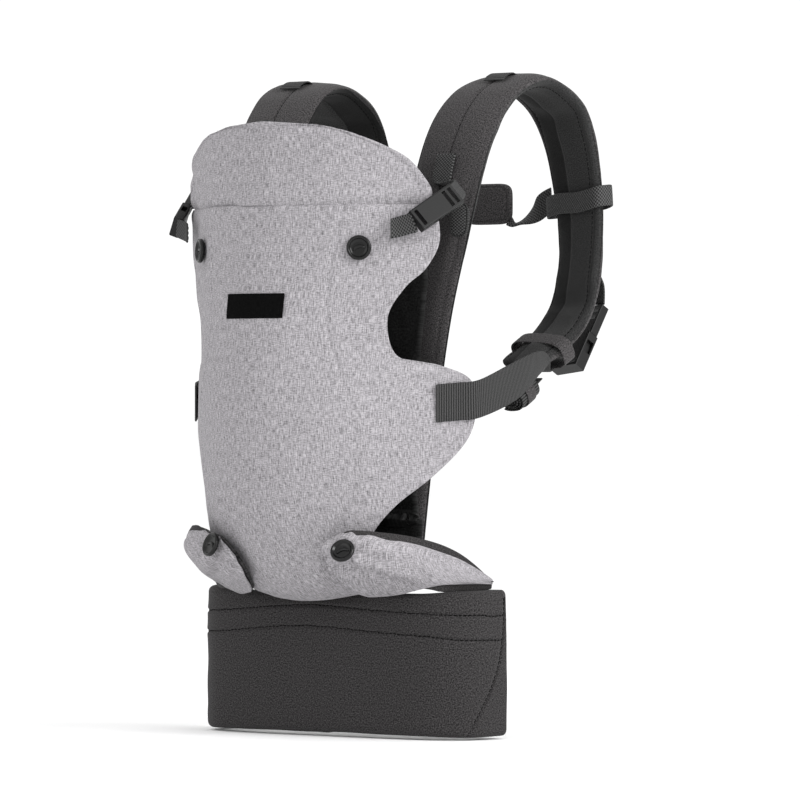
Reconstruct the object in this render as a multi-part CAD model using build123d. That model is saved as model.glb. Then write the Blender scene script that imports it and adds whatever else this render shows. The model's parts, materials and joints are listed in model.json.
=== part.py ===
from build123d import *
import math
import os

# Soft baby carrier, in millimetres. +Z is up, -Y is the front (the side away from the wearer),
# +X is on the right as the front is seen. The origin is the bottom centre of the whole carrier.
# Places are written as (x, depth, z), where depth runs backwards from the waistband's front face.

# ---- driving dimensions ----
FRONT_TO_ORIGIN = 67.0          # from the waistband's front face back to the origin

BAND_HEIGHT = 124.0
BAND_THICKNESS = 22.0
BAND_HALF_WIDTH = 150.0         # at the padded ends
BAND_DEPTH = 66.0               # from the front face to the padded ends
BAND_SEAM_X = 134.0             # foot of the seam between the cover and its end pieces
FABRIC = 1.6                    # cover cloth with its backing

BELT_WEBBING = 38.0
BELT_LOOP_DEPTH = 135.0         # how far the closed belt reaches behind the front face
BELT_HEIGHT = 62.0

WEBBING_THICKNESS = 1.8
UPPER_WEBBING = 15.0
WING_WEBBING = 30.0
BACK_WEBBING = 20.0

PANEL_PADDING = 4.0
PANEL_COLUMNS = 7               # facets across each half of the panel
BIB_THICKNESS = 5.5
HEAD_SEAM_Z = 448.0
HEAD_GAP = 0.6                  # between the panel and the head support, at the fold

STRAP_THICKNESS = 13.0
STRAP_CLOTH = 1.5
LAYER_GAP = 0.15

BUTTON_DIAMETER = 21.0
BUTTON_HEIGHT = 4.5
UPPER_BUTTON_X = 84.0
UPPER_BUTTON_Z = 413.0
BUTTON_LIFT = 1.2               # from the cloth to the button's back

BUCKLE_WALL = 2.5
BUCKLE_SKIN = 1.6
BUCKLE_CLEARANCE = 0.4


# ---- helpers ----
def at(x, depth, z):
    return Vector(x, depth - FRONT_TO_ORIGIN, z)


def blend_rows(rows, steps):
    """Rows of numbers, with steps - 1 smooth rows put between each two of them."""
    padded = [rows[0]] + rows + [rows[-1]]
    result = []
    for i in range(len(rows) - 1):
        before, start, end, after = padded[i:i + 4]
        for k in range(steps):
            t = k / steps
            result.append([
                0.5 * (2 * b + (c - a) * t + (2 * a - 5 * b + 4 * c - d) * t ** 2
                       + (3 * b - a - 3 * c + d) * t ** 3)
                for a, b, c, d in zip(before, start, end, after)
            ])
    return result + [rows[-1]]


def normals(grid):
    rows, columns = len(grid), len(grid[0])
    result = []
    for i in range(rows):
        line = []
        for j in range(columns):
            along = grid[i][min(j + 1, columns - 1)] - grid[i][max(j - 1, 0)]
            up = grid[min(i + 1, rows - 1)][j] - grid[max(i - 1, 0)][j]
            line.append(along.cross(up).normalized())
        result.append(line)
    return result


def layer(grid, low, high):
    """A closed faceted solid between two distances, low and high, out along a grid's normals."""
    out = normals(grid)
    rows, columns = len(grid), len(grid[0])
    outer = [[grid[i][j] + out[i][j] * high for j in range(columns)] for i in range(rows)]
    inner = [[grid[i][j] + out[i][j] * low for j in range(columns)] for i in range(rows)]
    faces = []

    def quad(a, b, c, d):
        faces.append(Face(Wire.make_polygon([a, b, c])))
        faces.append(Face(Wire.make_polygon([a, c, d])))

    for i in range(rows - 1):
        for j in range(columns - 1):
            quad(outer[i][j], outer[i][j + 1], outer[i + 1][j + 1], outer[i + 1][j])
            quad(inner[i][j], inner[i + 1][j], inner[i + 1][j + 1], inner[i][j + 1])
        for j in (0, columns - 1):
            quad(outer[i][j], outer[i + 1][j], inner[i + 1][j], inner[i][j])
    for j in range(columns - 1):
        for i in (0, rows - 1):
            quad(outer[i][j], outer[i][j + 1], inner[i][j + 1], inner[i][j])
    return Solid(Shell(faces))


def ribbon(rows, thickness):
    """Flat webbing: each row is a place, the width, and the width's direction."""
    grid = []
    for x, depth, z, width, wx, wy, wz in rows:
        half = Vector(wx, wy, wz).normalized() * (width / 2)
        middle = at(x, depth, z)
        grid.append([middle - half, middle + half])
    return layer(grid, -thickness / 2, thickness / 2)


def mirrored(solid):
    return mirror(solid, about=Plane.YZ)


def both_sides(nodes, name, solid):
    nodes[name + "_right"] = solid
    nodes[name + "_left"] = mirrored(solid)


def placed(shape, origin, x_dir, z_dir):
    return Plane(origin=origin, x_dir=x_dir, z_dir=z_dir).location * shape


def ring(inner_width, inner_thickness, wall, length):
    """A flat loop of cloth or elastic, open along its own X axis."""
    outer = Box(length, inner_width + 2 * wall, inner_thickness + 2 * wall)
    outer = fillet(outer.edges().filter_by(Axis.X), wall * 0.9)
    return outer - Box(length + 2, inner_width, inner_thickness)


# ---- waistband ----
def band_curve(inset):
    """The band's plan, as outer and inner points from the left end to the right end."""
    half = [(0, 0), (60, 1.0), (100, 5.0), (128, 15.0), (145, 33), (150, BAND_DEPTH)]
    right = [(x * BAND_HALF_WIDTH / 150, d) for x, d in half]
    line = [(-x, d) for x, d in reversed(right[1:])] + right
    outer = []
    inner = []
    for i, (x, d) in enumerate(line):
        x0, d0 = line[max(i - 1, 0)]
        x1, d1 = line[min(i + 1, len(line) - 1)]
        run = math.hypot(x1 - x0, d1 - d0)
        nx, nd = -(d1 - d0) / run, (x1 - x0) / run
        outer.append(at(x + nx * inset, d + nd * inset, 0))
        deep = BAND_THICKNESS - inset
        inner.append(at(x + nx * deep, d + nd * deep, 0))
    return outer, inner


def band_block(inset, trim):
    """The padded band's solid, drawn in by inset all round and by trim at its two ends."""
    outer, inner = band_curve(inset)
    height = BAND_HEIGHT - 2 * inset
    for line in (outer, inner):
        line[0] = line[0] + (line[1] - line[0]).normalized() * trim
        line[-1] = line[-1] + (line[-2] - line[-1]).normalized() * trim
    edge = [
        Spline(*outer),
        Line(outer[-1], inner[-1]),
        Spline(*inner),
        Line(inner[0], outer[0]),
    ]
    block = extrude(make_face(Curve() + edge), amount=height)
    return Pos(0, 0, inset) * block


def waistband(nodes):
    shell = band_block(0, 0) - band_block(FABRIC, FABRIC)
    foam = band_block(FABRIC + LAYER_GAP, FABRIC + LAYER_GAP)
    seam = at(BAND_SEAM_X, 19, BAND_HEIGHT / 2)
    across = Vector(0.72, 0.69, 0)
    end_box = placed(Box(120, 200, 300), seam + across * 60, across, (0, 0, 1))
    end_piece = shell & end_box
    both_sides(nodes, "waistband_end", end_piece)
    nodes["waistband_cover"] = shell - end_box - mirrored(end_box)
    nodes["waistband_foam"] = foam


def belt(nodes):
    buckle_half = 43.0
    path = blend_rows([
        [BAND_HALF_WIDTH - 14, BAND_DEPTH + 7.0, BELT_HEIGHT, BELT_WEBBING, 0, 0, 1],
        [126, 90, BELT_HEIGHT, BELT_WEBBING, 0, 0, 1],
        [107, 112, BELT_HEIGHT, BELT_WEBBING, 0, 0, 1],
        [78, 129, BELT_HEIGHT, BELT_WEBBING, 0, 0, 1],
        [buckle_half + 1.0, BELT_LOOP_DEPTH, BELT_HEIGHT, BELT_WEBBING, 0, 0, 1],
    ], 3)
    both_sides(nodes, "belt_webbing", ribbon(path, WEBBING_THICKNESS + 0.4))
    female, male, length = buckle(BELT_WEBBING, 13.0, 50.0, 36.0, 34.0)
    middle = at(length / 2, BELT_LOOP_DEPTH, BELT_HEIGHT)
    nodes["belt_buckle_female"] = placed(female, middle, (-1, 0, 0), (0, 1, 0))
    nodes["belt_buckle_male"] = placed(male, middle, (-1, 0, 0), (0, 1, 0))


# ---- buckles ----
def buckle(webbing, thickness, female_length, male_length, reach):
    """Side-release buckle along +X, from the female half's webbing bar to the male's ladder."""
    width = webbing + 2 * BUCKLE_WALL
    hollow_width = width - 2 * BUCKLE_WALL
    hollow_height = thickness - 2 * BUCKLE_SKIN
    slot = 0.09 * webbing + 2.2
    bar = 2.4

    female = Box(female_length, width, thickness, align=(Align.MIN, Align.CENTER, Align.CENTER))
    female = fillet(female.edges().filter_by(Axis.X), 1.2)
    mouth = Box(reach + 1, hollow_width, hollow_height, align=(Align.MAX, Align.CENTER, Align.CENTER))
    female -= Pos(female_length + 1, 0, 0) * mouth
    window = Box(reach * 0.5, width + 2, hollow_height - 0.8)
    female -= Pos(female_length - reach * 0.55, 0, 0) * window
    female -= Pos(bar + slot / 2, 0, 0) * Box(slot, webbing, thickness + 2)

    start = female_length + BUCKLE_CLEARANCE
    ladder_height = thickness - 3
    male = Box(male_length, width, ladder_height, align=(Align.MIN, Align.CENTER, Align.CENTER))
    male = Pos(start, 0, 0) * fillet(male.edges().filter_by(Axis.X), 1.0)
    for k in (0, 1):
        place = start + male_length - bar - slot / 2 - k * (slot + bar)
        male -= Pos(place, 0, 0) * Box(slot, webbing, thickness)
    arm_height = hollow_height - 2 * BUCKLE_CLEARANCE - 0.8
    arm_length = reach - 1.5
    arm_width = 0.1 * webbing + 1.0
    barb_width = arm_width + 1.2
    arm_start = start + 1 - arm_length / 2
    for side in (-1, 1):
        outside = hollow_width / 2 - BUCKLE_CLEARANCE
        arm_place = side * (outside - 0.8 - arm_width / 2)
        male += Pos(arm_start, arm_place, 0) * Box(arm_length, arm_width, arm_height)
        barb = Pos(arm_start - arm_length * 0.28, side * (outside - barb_width / 2), 0)
        male += barb * Box(arm_length * 0.4, barb_width, arm_height)
    male += Pos(arm_start, 0, 0) * Box(arm_length, 0.16 * webbing, arm_height)
    return female, male, female_length + BUCKLE_CLEARANCE + male_length


# ---- front panel ----
def panel_rows():
    """Bottom to top: height and depth at the centre, then half width, depth and height at the edge."""
    return [
        [121.0, -0.6, 62.0, -0.4, 121.0],
        [114.5, -22.0, 68.0, -13.0, 126.5],
        [127.0, -47.0, 75.0, -27.0, 139.0],
        [148.0, -66.0, 80.0, -37.0, 154.0],
        [172.0, -80.0, 87.0, -38.5, 173.0],
        [196.0, -89.0, 102.5, -27.6, 196.0],
        [223.0, -95.0, 127.0, -3.0, 223.0],
        [251.0, -98.0, 144.0, 17.0, 251.0],
        [278.0, -98.5, 149.0, 22.0, 278.0],
        [304.0, -97.0, 145.6, 19.0, 302.0],
        [316.0, -96.0, 129.0, -2.0, 314.0],
        [328.0, -94.5, 106.0, -30.0, 322.0],
        [353.0, -92.0, 101.4, -37.0, 353.0],
        [378.0, -88.5, 113.0, -29.0, 378.0],
        [395.0, -86.0, 126.0, -16.0, 395.0],
        [418.0, -83.5, 134.0, -8.0, 418.0],
        [HEAD_SEAM_Z, -82.0, 132.0, -10.0, HEAD_SEAM_Z],
    ]


def head_rows():
    bottom = HEAD_SEAM_Z + HEAD_GAP
    return [
        [bottom, -82.0, 132.0, -10.0, bottom],
        [468.0, -80.5, 128.0, -18.0, 468.0],
        [486.0, -79.5, 118.0, -30.0, 486.0],
        [500.0, -79.0, 103.0, -42.0, 497.0],
        [510.0, -78.5, 84.0, -54.0, 506.0],
        [516.0, -78.0, 61.0, -64.0, 512.5],
        [519.5, -78.0, 37.0, -72.0, 517.5],
    ]


def arched_grid(rows, columns):
    """Points of a sheet that is arched across: deepest forward at the centre."""
    grid = []
    for z_mid, d_mid, half, d_edge, z_edge in rows:
        line = []
        for j in range(-columns, columns + 1):
            u = j / columns
            swept = abs(u) ** 1.9
            line.append(at(half * u, d_mid + (d_edge - d_mid) * swept, z_mid + (z_edge - z_mid) * swept))
        grid.append(line)
    return grid


def front_panel(nodes):
    grid = arched_grid(panel_rows(), PANEL_COLUMNS)
    nodes["front_panel_cover"] = layer(grid, -FABRIC, 0)
    nodes["front_panel_lining"] = layer(grid, -FABRIC - PANEL_PADDING, -FABRIC - LAYER_GAP)
    label = arched_grid([
        [353.5, -93.4, 30.5, -89.0, 353.5],
        [373.5, -90.8, 30.5, -86.4, 373.5],
    ], 3)
    nodes["label_patch"] = layer(label, 0, 1.0)


def head_support(nodes):
    grid = arched_grid(head_rows(), 6)
    nodes["head_support_cover"] = layer(grid, -FABRIC, 0)
    nodes["head_support_padding"] = layer(grid, -FABRIC - PANEL_PADDING, -FABRIC - LAYER_GAP)


# ---- bib: the inner panel between the straps ----
def bib(nodes):
    rows = [
        [126.5, 9.0, 88.0, 15.0, 126.5],
        [180.0, 20.0, 87.0, 25.0, 180.0],
        [196.0, 21.5, 80.0, 26.0, 196.0],
        [330.0, 25.5, 82.0, 29.5, 330.0],
        [390.0, 26.5, 87.0, 31.0, 390.0],
        [430.0, 27.0, 82.0, 31.5, 426.0],
    ]
    nodes["bib"] = layer(arched_grid(rows, 3), -BIB_THICKNESS, 0)


# ---- shoulder straps ----
def strap_rows():
    """From the bib's foot, over the shoulder, to the free end: place, width, and turn in degrees."""
    return [
        [57.0, 31.0, 124.6, 56.0, 0.0],
        [57.0, 38.0, 178.0, 56.0, 0.0],
        [65.5, 40.5, 270.0, 60.0, 0.0],
        [75.4, 43.5, 351.0, 64.0, 0.0],
        [86.4, 46.0, 412.0, 70.0, 0.0],
        [98.0, 51.0, 473.0, 73.0, 0.0],
        [103.0, 64.0, 514.0, 73.0, 0.0],
        [105.5, 85.0, 540.0, 73.0, 0.0],
        [109.0, 107.0, 553.0, 73.0, 0.0],
        [112.0, 130.0, 557.0, 73.0, -3.0],
        [115.0, 155.0, 550.0, 73.0, -7.0],
        [118.0, 180.0, 533.0, 73.0, -11.0],
        [120.0, 196.0, 504.0, 73.0, -15.0],
        [121.5, 205.0, 465.0, 73.0, -18.0],
        [122.0, 208.5, 430.0, 72.0, -21.0],
        [121.5, 207.0, 398.0, 70.0, -22.0],
        [120.0, 199.0, 369.0, 68.0, -20.0],
        [117.5, 185.0, 348.0, 64.0, -14.0],
        [114.5, 165.0, 330.0, 56.0, -6.0],
        [112.0, 143.0, 318.0, 44.0, 0.0],
    ]


def strap_grid():
    grid = []
    for x, depth, z, width, turn in strap_rows():
        half = Vector(math.cos(math.radians(turn)), math.sin(math.radians(turn)), 0) * (width / 2)
        middle = at(x, depth, z)
        grid.append([middle - half, middle, middle + half])
    return grid


def shoulder_straps(nodes):
    grid = strap_grid()
    outside = STRAP_THICKNESS / 2
    both_sides(nodes, "shoulder_strap_cover", layer(grid, outside - STRAP_CLOTH, outside))
    foam_half = outside - STRAP_CLOTH - LAYER_GAP
    both_sides(nodes, "shoulder_strap_foam", layer(grid, -foam_half, foam_half))
    both_sides(nodes, "shoulder_strap_lining", layer(grid, -outside, STRAP_CLOTH - outside))
    keeper = ribbon([
        [112.0, 101.0, 559.6, 20, 1, 0, 0],
        [112.0, 110.0, 563.6, 20, 1, 0, 0],
    ], 1.4)
    nodes["strap_top_keepers"] = Compound([keeper, mirrored(keeper)])


# ---- upper buckles: panel to strap ----
def upper_buckles(nodes):
    along = Vector(0.30, 0.80, 0.52).normalized()
    face = Vector(0.805, -0.418, 0.420)
    across = face.cross(along).normalized()
    face = along.cross(across)
    start = at(130.3, -35.0, 433.0)
    female, male, length = buckle(UPPER_WEBBING, 8.5, 25.0, 21.0, 16.0)
    both_sides(nodes, "upper_buckle_female", placed(female, start, along, face))
    both_sides(nodes, "upper_buckle_male", placed(male, start, along, face))

    tab = ribbon([
        [104.0, -48.0, 426.0, UPPER_WEBBING, 0, 0, 1],
        [116.0, -39.5, 429.0, UPPER_WEBBING, -0.1, -0.1, 1],
        [128.6, -35.2, 432.4, UPPER_WEBBING, across.X, across.Y, across.Z],
    ], WEBBING_THICKNESS)
    both_sides(nodes, "panel_tab", tab)

    end = start + along * (length + 1.2) + Vector(0, FRONT_TO_ORIGIN, 0)
    stub = ribbon([
        [end.X, end.Y, end.Z, UPPER_WEBBING, across.X, across.Y, across.Z],
        [130.0, 25.0, 464.0, UPPER_WEBBING, -0.7, 0, 0.7],
        [104.0, 37.0, 466.0, UPPER_WEBBING, -1, 0, 0.3],
        [100.0, 40.4, 474.0, UPPER_WEBBING + 3, -1, 0, 0],
        [101.0, 47.0, 492.0, UPPER_WEBBING + 3, -1, 0, 0],
    ], WEBBING_THICKNESS)
    both_sides(nodes, "strap_tab", stub)

    pack = fillet(Box(14.5, 8.0, 27.0).edges().filter_by(Axis.Y), 6.0)
    spot = at(125.0, 33.0, 436.0)
    both_sides(nodes, "webbing_pack", placed(pack, spot, (1, 0.25, 0), (0, 0.1, 1)))


# ---- lower buckles: wing to strap end ----
def lower_buckles(nodes):
    female, male, length = buckle(WING_WEBBING, 11.5, 34.0, 29.0, 23.0)
    bottom = at(120.0, 190.0, 311.0)
    along = Vector(0.03, 0.56, 0.83).normalized()
    across = Vector(math.cos(math.radians(-16)), math.sin(math.radians(-16)), 0)
    face = along.cross(across).normalized() * -1
    both_sides(nodes, "lower_buckle_female", placed(female, bottom, along, face))
    both_sides(nodes, "lower_buckle_male", placed(male, bottom, along, face))

    stub = ribbon(blend_rows([
        [122.0, 217.2, 396.0, WING_WEBBING, across.X, across.Y, 0],
        [122.0, 226.0, 384.0, WING_WEBBING, across.X, across.Y, 0],
        [121.7, 227.0, 368.0, WING_WEBBING, across.X, across.Y, 0],
    ], 2), WEBBING_THICKNESS)
    both_sides(nodes, "strap_end_tab", stub)

    wing = ribbon(blend_rows([
        [131.4, -7.0, 282.0, WING_WEBBING, 0, 0, 1],
        [142.2, 7.2, 283.5, WING_WEBBING, 0, 0, 1],
        [153.0, 23.5, 286.0, WING_WEBBING, 0, -0.05, 1],
        [153.0, 70.0, 300.0, WING_WEBBING, 0, -0.2, 1],
        [148.0, 113.0, 311.0, WING_WEBBING, 0.4, -0.45, 0.8],
        [135.0, 136.0, 310.0, WING_WEBBING, 0.85, -0.35, 0.4],
        [116.0, 153.5, 310.5, WING_WEBBING, 1, 0, 0],
        [114.6, 171.0, 322.0, WING_WEBBING, 1, 0, 0],
        [118.2, 187.0, 321.6, WING_WEBBING, across.X, across.Y, 0],
    ], 2), WEBBING_THICKNESS)
    both_sides(nodes, "wing_webbing", wing)

    keeper = ring(58.0, 21.0, 1.6, 16.0)
    keeper = placed(keeper, at(113.6, 158.3, 323.8), (0.1, 0.86, 0.51), (0, -0.51, 0.86))
    both_sides(nodes, "strap_end_keeper", keeper)

    roll = fillet(Cylinder(9.5, 33.0).edges(), 2.5)
    both_sides(nodes, "webbing_roll", placed(roll, at(113.0, 131.0, 285.0), (1, 0, 0), (-0.04, 0.89, 0.45)))


# ---- back strap ----
def back_strap(nodes):
    height = 452.0
    turn = math.radians(-19)
    down = Vector(0, 0.1, -1)
    outward = Vector(math.cos(turn), math.sin(turn), 0).cross(down)
    loop = ring(79.0, 22.0, WEBBING_THICKNESS, BACK_WEBBING)
    both_sides(nodes, "back_strap_loop", placed(loop, at(121.9, 206.5, height), down, outward))

    nodes["back_webbing_right"] = ribbon(blend_rows([
        [80.5, 221.0, height, BACK_WEBBING, 0, 0, 1],
        [68.0, 221.0, height - 1, BACK_WEBBING, 0.1, 0.8, 0.6],
        [49.0, 219.0, height - 3, BACK_WEBBING, 0, 0, 1],
    ], 4), WEBBING_THICKNESS)
    pad = Box(60.0, 8.0, 36.0)
    pad = fillet(pad.edges().filter_by(Axis.Y), 8.0)
    nodes["back_strap_pad"] = placed(pad, at(18.0, 219.0, height + 1), (1, 0, 0), (0, 0, 1))

    female, male, length = buckle(BACK_WEBBING, 9.0, 26.0, 20.0, 17.0)
    start = at(-12.5, 219.0, height)
    nodes["back_buckle_female"] = placed(female, start, (-1, 0, 0), (0, 1, 0))
    nodes["back_buckle_male"] = placed(male, start, (-1, 0, 0), (0, 1, 0))
    nodes["back_webbing_left"] = ribbon([
        [-13.5 - length, 219.0, height, BACK_WEBBING, 0, 0, 1],
        [-80.5, 221.0, height, BACK_WEBBING, 0, 0, 1],
    ], WEBBING_THICKNESS)


# ---- buttons and seat flaps ----
def button():
    """A sewn-on button: rim, dished face with a bar across it, and a short stalk behind."""
    radius = BUTTON_DIAMETER / 2
    disc = Cylinder(radius, BUTTON_HEIGHT, align=(Align.CENTER, Align.CENTER, Align.MIN))
    disc = fillet(disc.edges(), 1.2)
    dish = Pos(0, 0, BUTTON_HEIGHT - 1.4) * Cylinder(radius - 2.6, 3, align=(Align.CENTER, Align.CENTER, Align.MIN))
    bar = Pos(0, 0, BUTTON_HEIGHT - 1.8) * Box(2 * radius - 6, 4.0, 2.2)
    stalk = Pos(0, 0, -0.4) * Cylinder(3.0, 0.8)
    return disc - dish + bar + stalk


def spot_on(grid, row, column):
    """The place and outward direction at a fractional row and column of a grid."""
    i, j = int(row), int(column)
    u, v = row - i, column - j
    low = grid[i][j] + (grid[i][j + 1] - grid[i][j]) * v
    high = grid[i + 1][j] + (grid[i + 1][j + 1] - grid[i + 1][j]) * v
    across = grid[i][j + 1] - grid[i][j] + grid[i + 1][j + 1] - grid[i + 1][j]
    return low + (high - low) * u, across.cross(high - low).normalized()


def panel_buttons(nodes):
    rows = panel_rows()
    above = next(i for i, row in enumerate(rows) if row[0] > UPPER_BUTTON_Z)
    share = (UPPER_BUTTON_Z - rows[above - 1][0]) / (rows[above][0] - rows[above - 1][0])
    half = rows[above - 1][2] + (rows[above][2] - rows[above - 1][2]) * share
    column = PANEL_COLUMNS * (1 + UPPER_BUTTON_X / half)
    place, facing = spot_on(arched_grid(rows, PANEL_COLUMNS), above - 1 + share, column)
    one = placed(button(), place + facing * BUTTON_LIFT, (1, 0.35, 0), facing)
    nodes["panel_buttons"] = Compound([one, mirrored(one)])


def flap_grid(low_end, middle_end):
    """A seat flap, bottom to top and front to back. Its rounded front end lies on the pouch."""
    return [
        [at(*low_end), at(72, -17, 119), at(90, -7, 122.5), at(108, -2, 125.2), at(127, 11, 125.2),
         at(145, 50, 125.2)],
        [at(*middle_end), at(83, -64, 148), at(107, -45, 150), at(122, -12, 148), at(134, 17, 142),
         at(146, 50, 131)],
        [at(56, -76, 169), at(84, -67, 174), at(106, -46, 171), at(121, -12, 164), at(134, 20, 152),
         at(145, 51, 136)],
    ]


def seat_flaps(nodes):
    """Both flaps, each with its button. The left one is pulled further round the pouch."""
    sockets = []
    ends = [
        ("_right", (54, -30, 117.5), (60, -65, 143)),
        ("_left", (34, -40, 116.5), (30, -72, 143)),
    ]
    for word, low_end, middle_end in ends:
        grid = flap_grid(low_end, middle_end)
        flap = layer(grid, -3.0, 0)
        place, facing = spot_on(grid, 1.55, 0.5)
        sewn = placed(button(), place + facing * BUTTON_LIFT, (0.7, 0.6, 0), facing)
        socket = Cylinder(6.0, 1.6) - Cylinder(3.6, 3.0)
        behind = placed(socket, place - facing * 8.6, (0.7, 0.6, 0), facing)
        if word == "_left":
            flap, sewn, behind = mirrored(flap), mirrored(sewn), mirrored(behind)
        nodes["seat_flap" + word] = flap
        nodes["flap_button" + word] = sewn
        sockets.append(behind)
    nodes["flap_sockets"] = Compound(sockets)


def main():
    nodes = {}
    waistband(nodes)
    belt(nodes)
    front_panel(nodes)
    head_support(nodes)
    bib(nodes)
    shoulder_straps(nodes)
    upper_buckles(nodes)
    lower_buckles(nodes)
    back_strap(nodes)
    panel_buttons(nodes)
    seat_flaps(nodes)
    os.makedirs("parts", exist_ok=True)
    for name, shape in nodes.items():
        export_step(shape, "parts/" + name + ".step")


main()
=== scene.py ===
import bpy
import bmesh
import json
import math
import numpy as np
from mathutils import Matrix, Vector
from mathutils.bvhtree import BVHTree


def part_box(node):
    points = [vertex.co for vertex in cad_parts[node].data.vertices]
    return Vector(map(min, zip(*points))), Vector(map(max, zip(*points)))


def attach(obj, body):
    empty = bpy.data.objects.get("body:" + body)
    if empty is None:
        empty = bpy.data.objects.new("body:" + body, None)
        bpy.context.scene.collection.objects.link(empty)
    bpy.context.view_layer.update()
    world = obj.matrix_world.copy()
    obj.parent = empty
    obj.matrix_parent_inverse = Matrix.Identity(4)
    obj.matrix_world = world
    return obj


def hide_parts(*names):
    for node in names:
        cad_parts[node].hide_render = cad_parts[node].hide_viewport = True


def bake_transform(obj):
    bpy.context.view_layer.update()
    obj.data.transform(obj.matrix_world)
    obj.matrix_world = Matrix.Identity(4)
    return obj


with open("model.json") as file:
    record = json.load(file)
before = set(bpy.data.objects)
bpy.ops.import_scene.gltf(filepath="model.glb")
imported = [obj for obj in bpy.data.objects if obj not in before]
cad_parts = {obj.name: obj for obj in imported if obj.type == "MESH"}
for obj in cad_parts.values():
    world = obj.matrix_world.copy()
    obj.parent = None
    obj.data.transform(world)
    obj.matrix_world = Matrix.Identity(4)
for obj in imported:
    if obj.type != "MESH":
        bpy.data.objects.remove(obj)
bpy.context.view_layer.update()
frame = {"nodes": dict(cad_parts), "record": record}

# The looks of a soft baby carrier. Lengths here are in millimetres until a mesh is made.
# Places are written as (x, depth, z): depth runs backwards from the waistband's front face.
MM = 0.001
BAND_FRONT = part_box("waistband_cover")[0].y / MM
BAND_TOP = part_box("waistband_cover")[1].z / MM
BAND_THICKNESS = 22.0
HEAD_SEAM_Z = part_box("front_panel_cover")[1].z / MM
PANEL_CLOTH = 1.6
LINING = 4.0
WEBBING = 1.8
STRAP_HALF = 6.5
SIDES = {"right": np.array([1.0, 1.0, 1.0]), "left": np.array([-1.0, 1.0, 1.0])}
X, Y, Z = np.eye(3)


# ---- small maths ----
def at(x, depth, z):
    return np.array([x, BAND_FRONT + depth, z], float)


def unit(v):
    v = np.asarray(v, float)
    return v / np.maximum(np.linalg.norm(v, axis=-1, keepdims=True), 1e-9)


def mirrored(points):
    return points * SIDES["left"]


def turned_to(word, grid):
    """A right side's grid of points, mirrored for the left side with its columns still left to right."""
    return mirrored(grid)[:, ::-1] if word == "left" else grid


def blend_rows(rows, steps):
    """Smooth rows through the given ones (Catmull-Rom), steps to each interval."""
    rows = np.array(rows, float)
    padded = np.vstack([rows[:1], rows, rows[-1:]])
    result = []
    for i in range(len(rows) - 1):
        a, b, c, d = padded[i:i + 4]
        for k in range(steps):
            t = k / steps
            result.append(0.5 * (2 * b + (c - a) * t + (2 * a - 5 * b + 4 * c - d) * t ** 2
                                 + (3 * b - a - 3 * c + d) * t ** 3))
    return np.array(result + [rows[-1]])


def along_curve(points, value):
    """A smooth curve's second coordinate where its first one is value."""
    line = blend_rows(sorted(points), 12)
    return np.interp(value, line[:, 0], line[:, 1])


def ridge(distance, width):
    return np.exp(-(distance / width) ** 2)


def ripple(points, wavelength, seed, waves=7):
    """Gentle irregular waves over points, about -1 to 1, always the same for one seed."""
    rng = np.random.default_rng(seed)
    total = np.zeros(points.shape[:-1])
    for _ in range(waves):
        direction = unit(rng.normal(size=3))
        k = 2 * math.pi / (wavelength * rng.uniform(0.7, 1.5))
        total += np.sin(points @ direction * k + rng.uniform(0, 2 * math.pi))
    return total / math.sqrt(waves)


def grid_normals(grid):
    return unit(np.cross(np.gradient(grid, axis=1), np.gradient(grid, axis=0)))


def arc_lengths(points, axis):
    """Distance run along one axis of a grid of points."""
    step = np.linalg.norm(np.diff(points, axis=axis), axis=-1)
    start = np.zeros_like(np.take(step, [0], axis=axis))
    return np.concatenate([start, np.cumsum(step, axis=axis)], axis=axis)


# ---- meshes ----
def mesh_object(name, points, faces):
    """An object whose faces all point outwards, from points in millimetres."""
    mesh = bpy.data.meshes.new(name)
    mesh.from_pydata((np.asarray(points) * MM).tolist(), [], faces)
    bm = bmesh.new()
    bm.from_mesh(mesh)
    bmesh.ops.recalc_face_normals(bm, faces=bm.faces)
    bm.to_mesh(mesh)
    bm.free()
    piece = bpy.data.objects.new(name, mesh)
    bpy.context.scene.collection.objects.link(piece)
    return piece


def add_mesh(name, points, faces, flow, material, body="carrier"):
    """A smooth piece riding on a body; flow holds each point's place across and along its cloth."""
    piece = mesh_object(name, points, faces)
    mesh = piece.data
    mesh.polygons.foreach_set("use_smooth", [True] * len(mesh.polygons))
    attribute = mesh.attributes.new("flow", "FLOAT_VECTOR", "POINT")
    attribute.data.foreach_set("vector", (np.asarray(flow, float) * MM).ravel())
    mesh.materials.append(material)
    if body:
        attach(piece, body)
    return piece


def ring_faces(rows, columns, closed=False):
    """Faces between rings of points; a closed form also joins its last ring to its first one."""
    faces = []
    for i in range(rows if closed else rows - 1):
        near, far = i * columns, (i + 1) % rows * columns
        faces += [(near + j, near + (j + 1) % columns, far + (j + 1) % columns, far + j)
                  for j in range(columns)]
    return faces


def tube_mesh(rings):
    """Points and faces of a closed form: rings of points, with a fan at each end."""
    rows, columns = rings.shape[:2]
    points = list(rings.reshape(-1, 3))
    faces = ring_faces(rows, columns)
    for ring, first in ((rings[0], 0), (rings[-1], (rows - 1) * columns)):
        points.append(ring.mean(axis=0))
        middle = len(points) - 1
        faces += [(first + j, first + (j + 1) % columns, middle) for j in range(columns)]
    return np.array(points), faces


RIM_TURNS = (0.8, 1.57, 2.34)
RIM = len(RIM_TURNS)
END_TURNS = [math.radians(a) for a in (78, 52, 26)]


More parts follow.
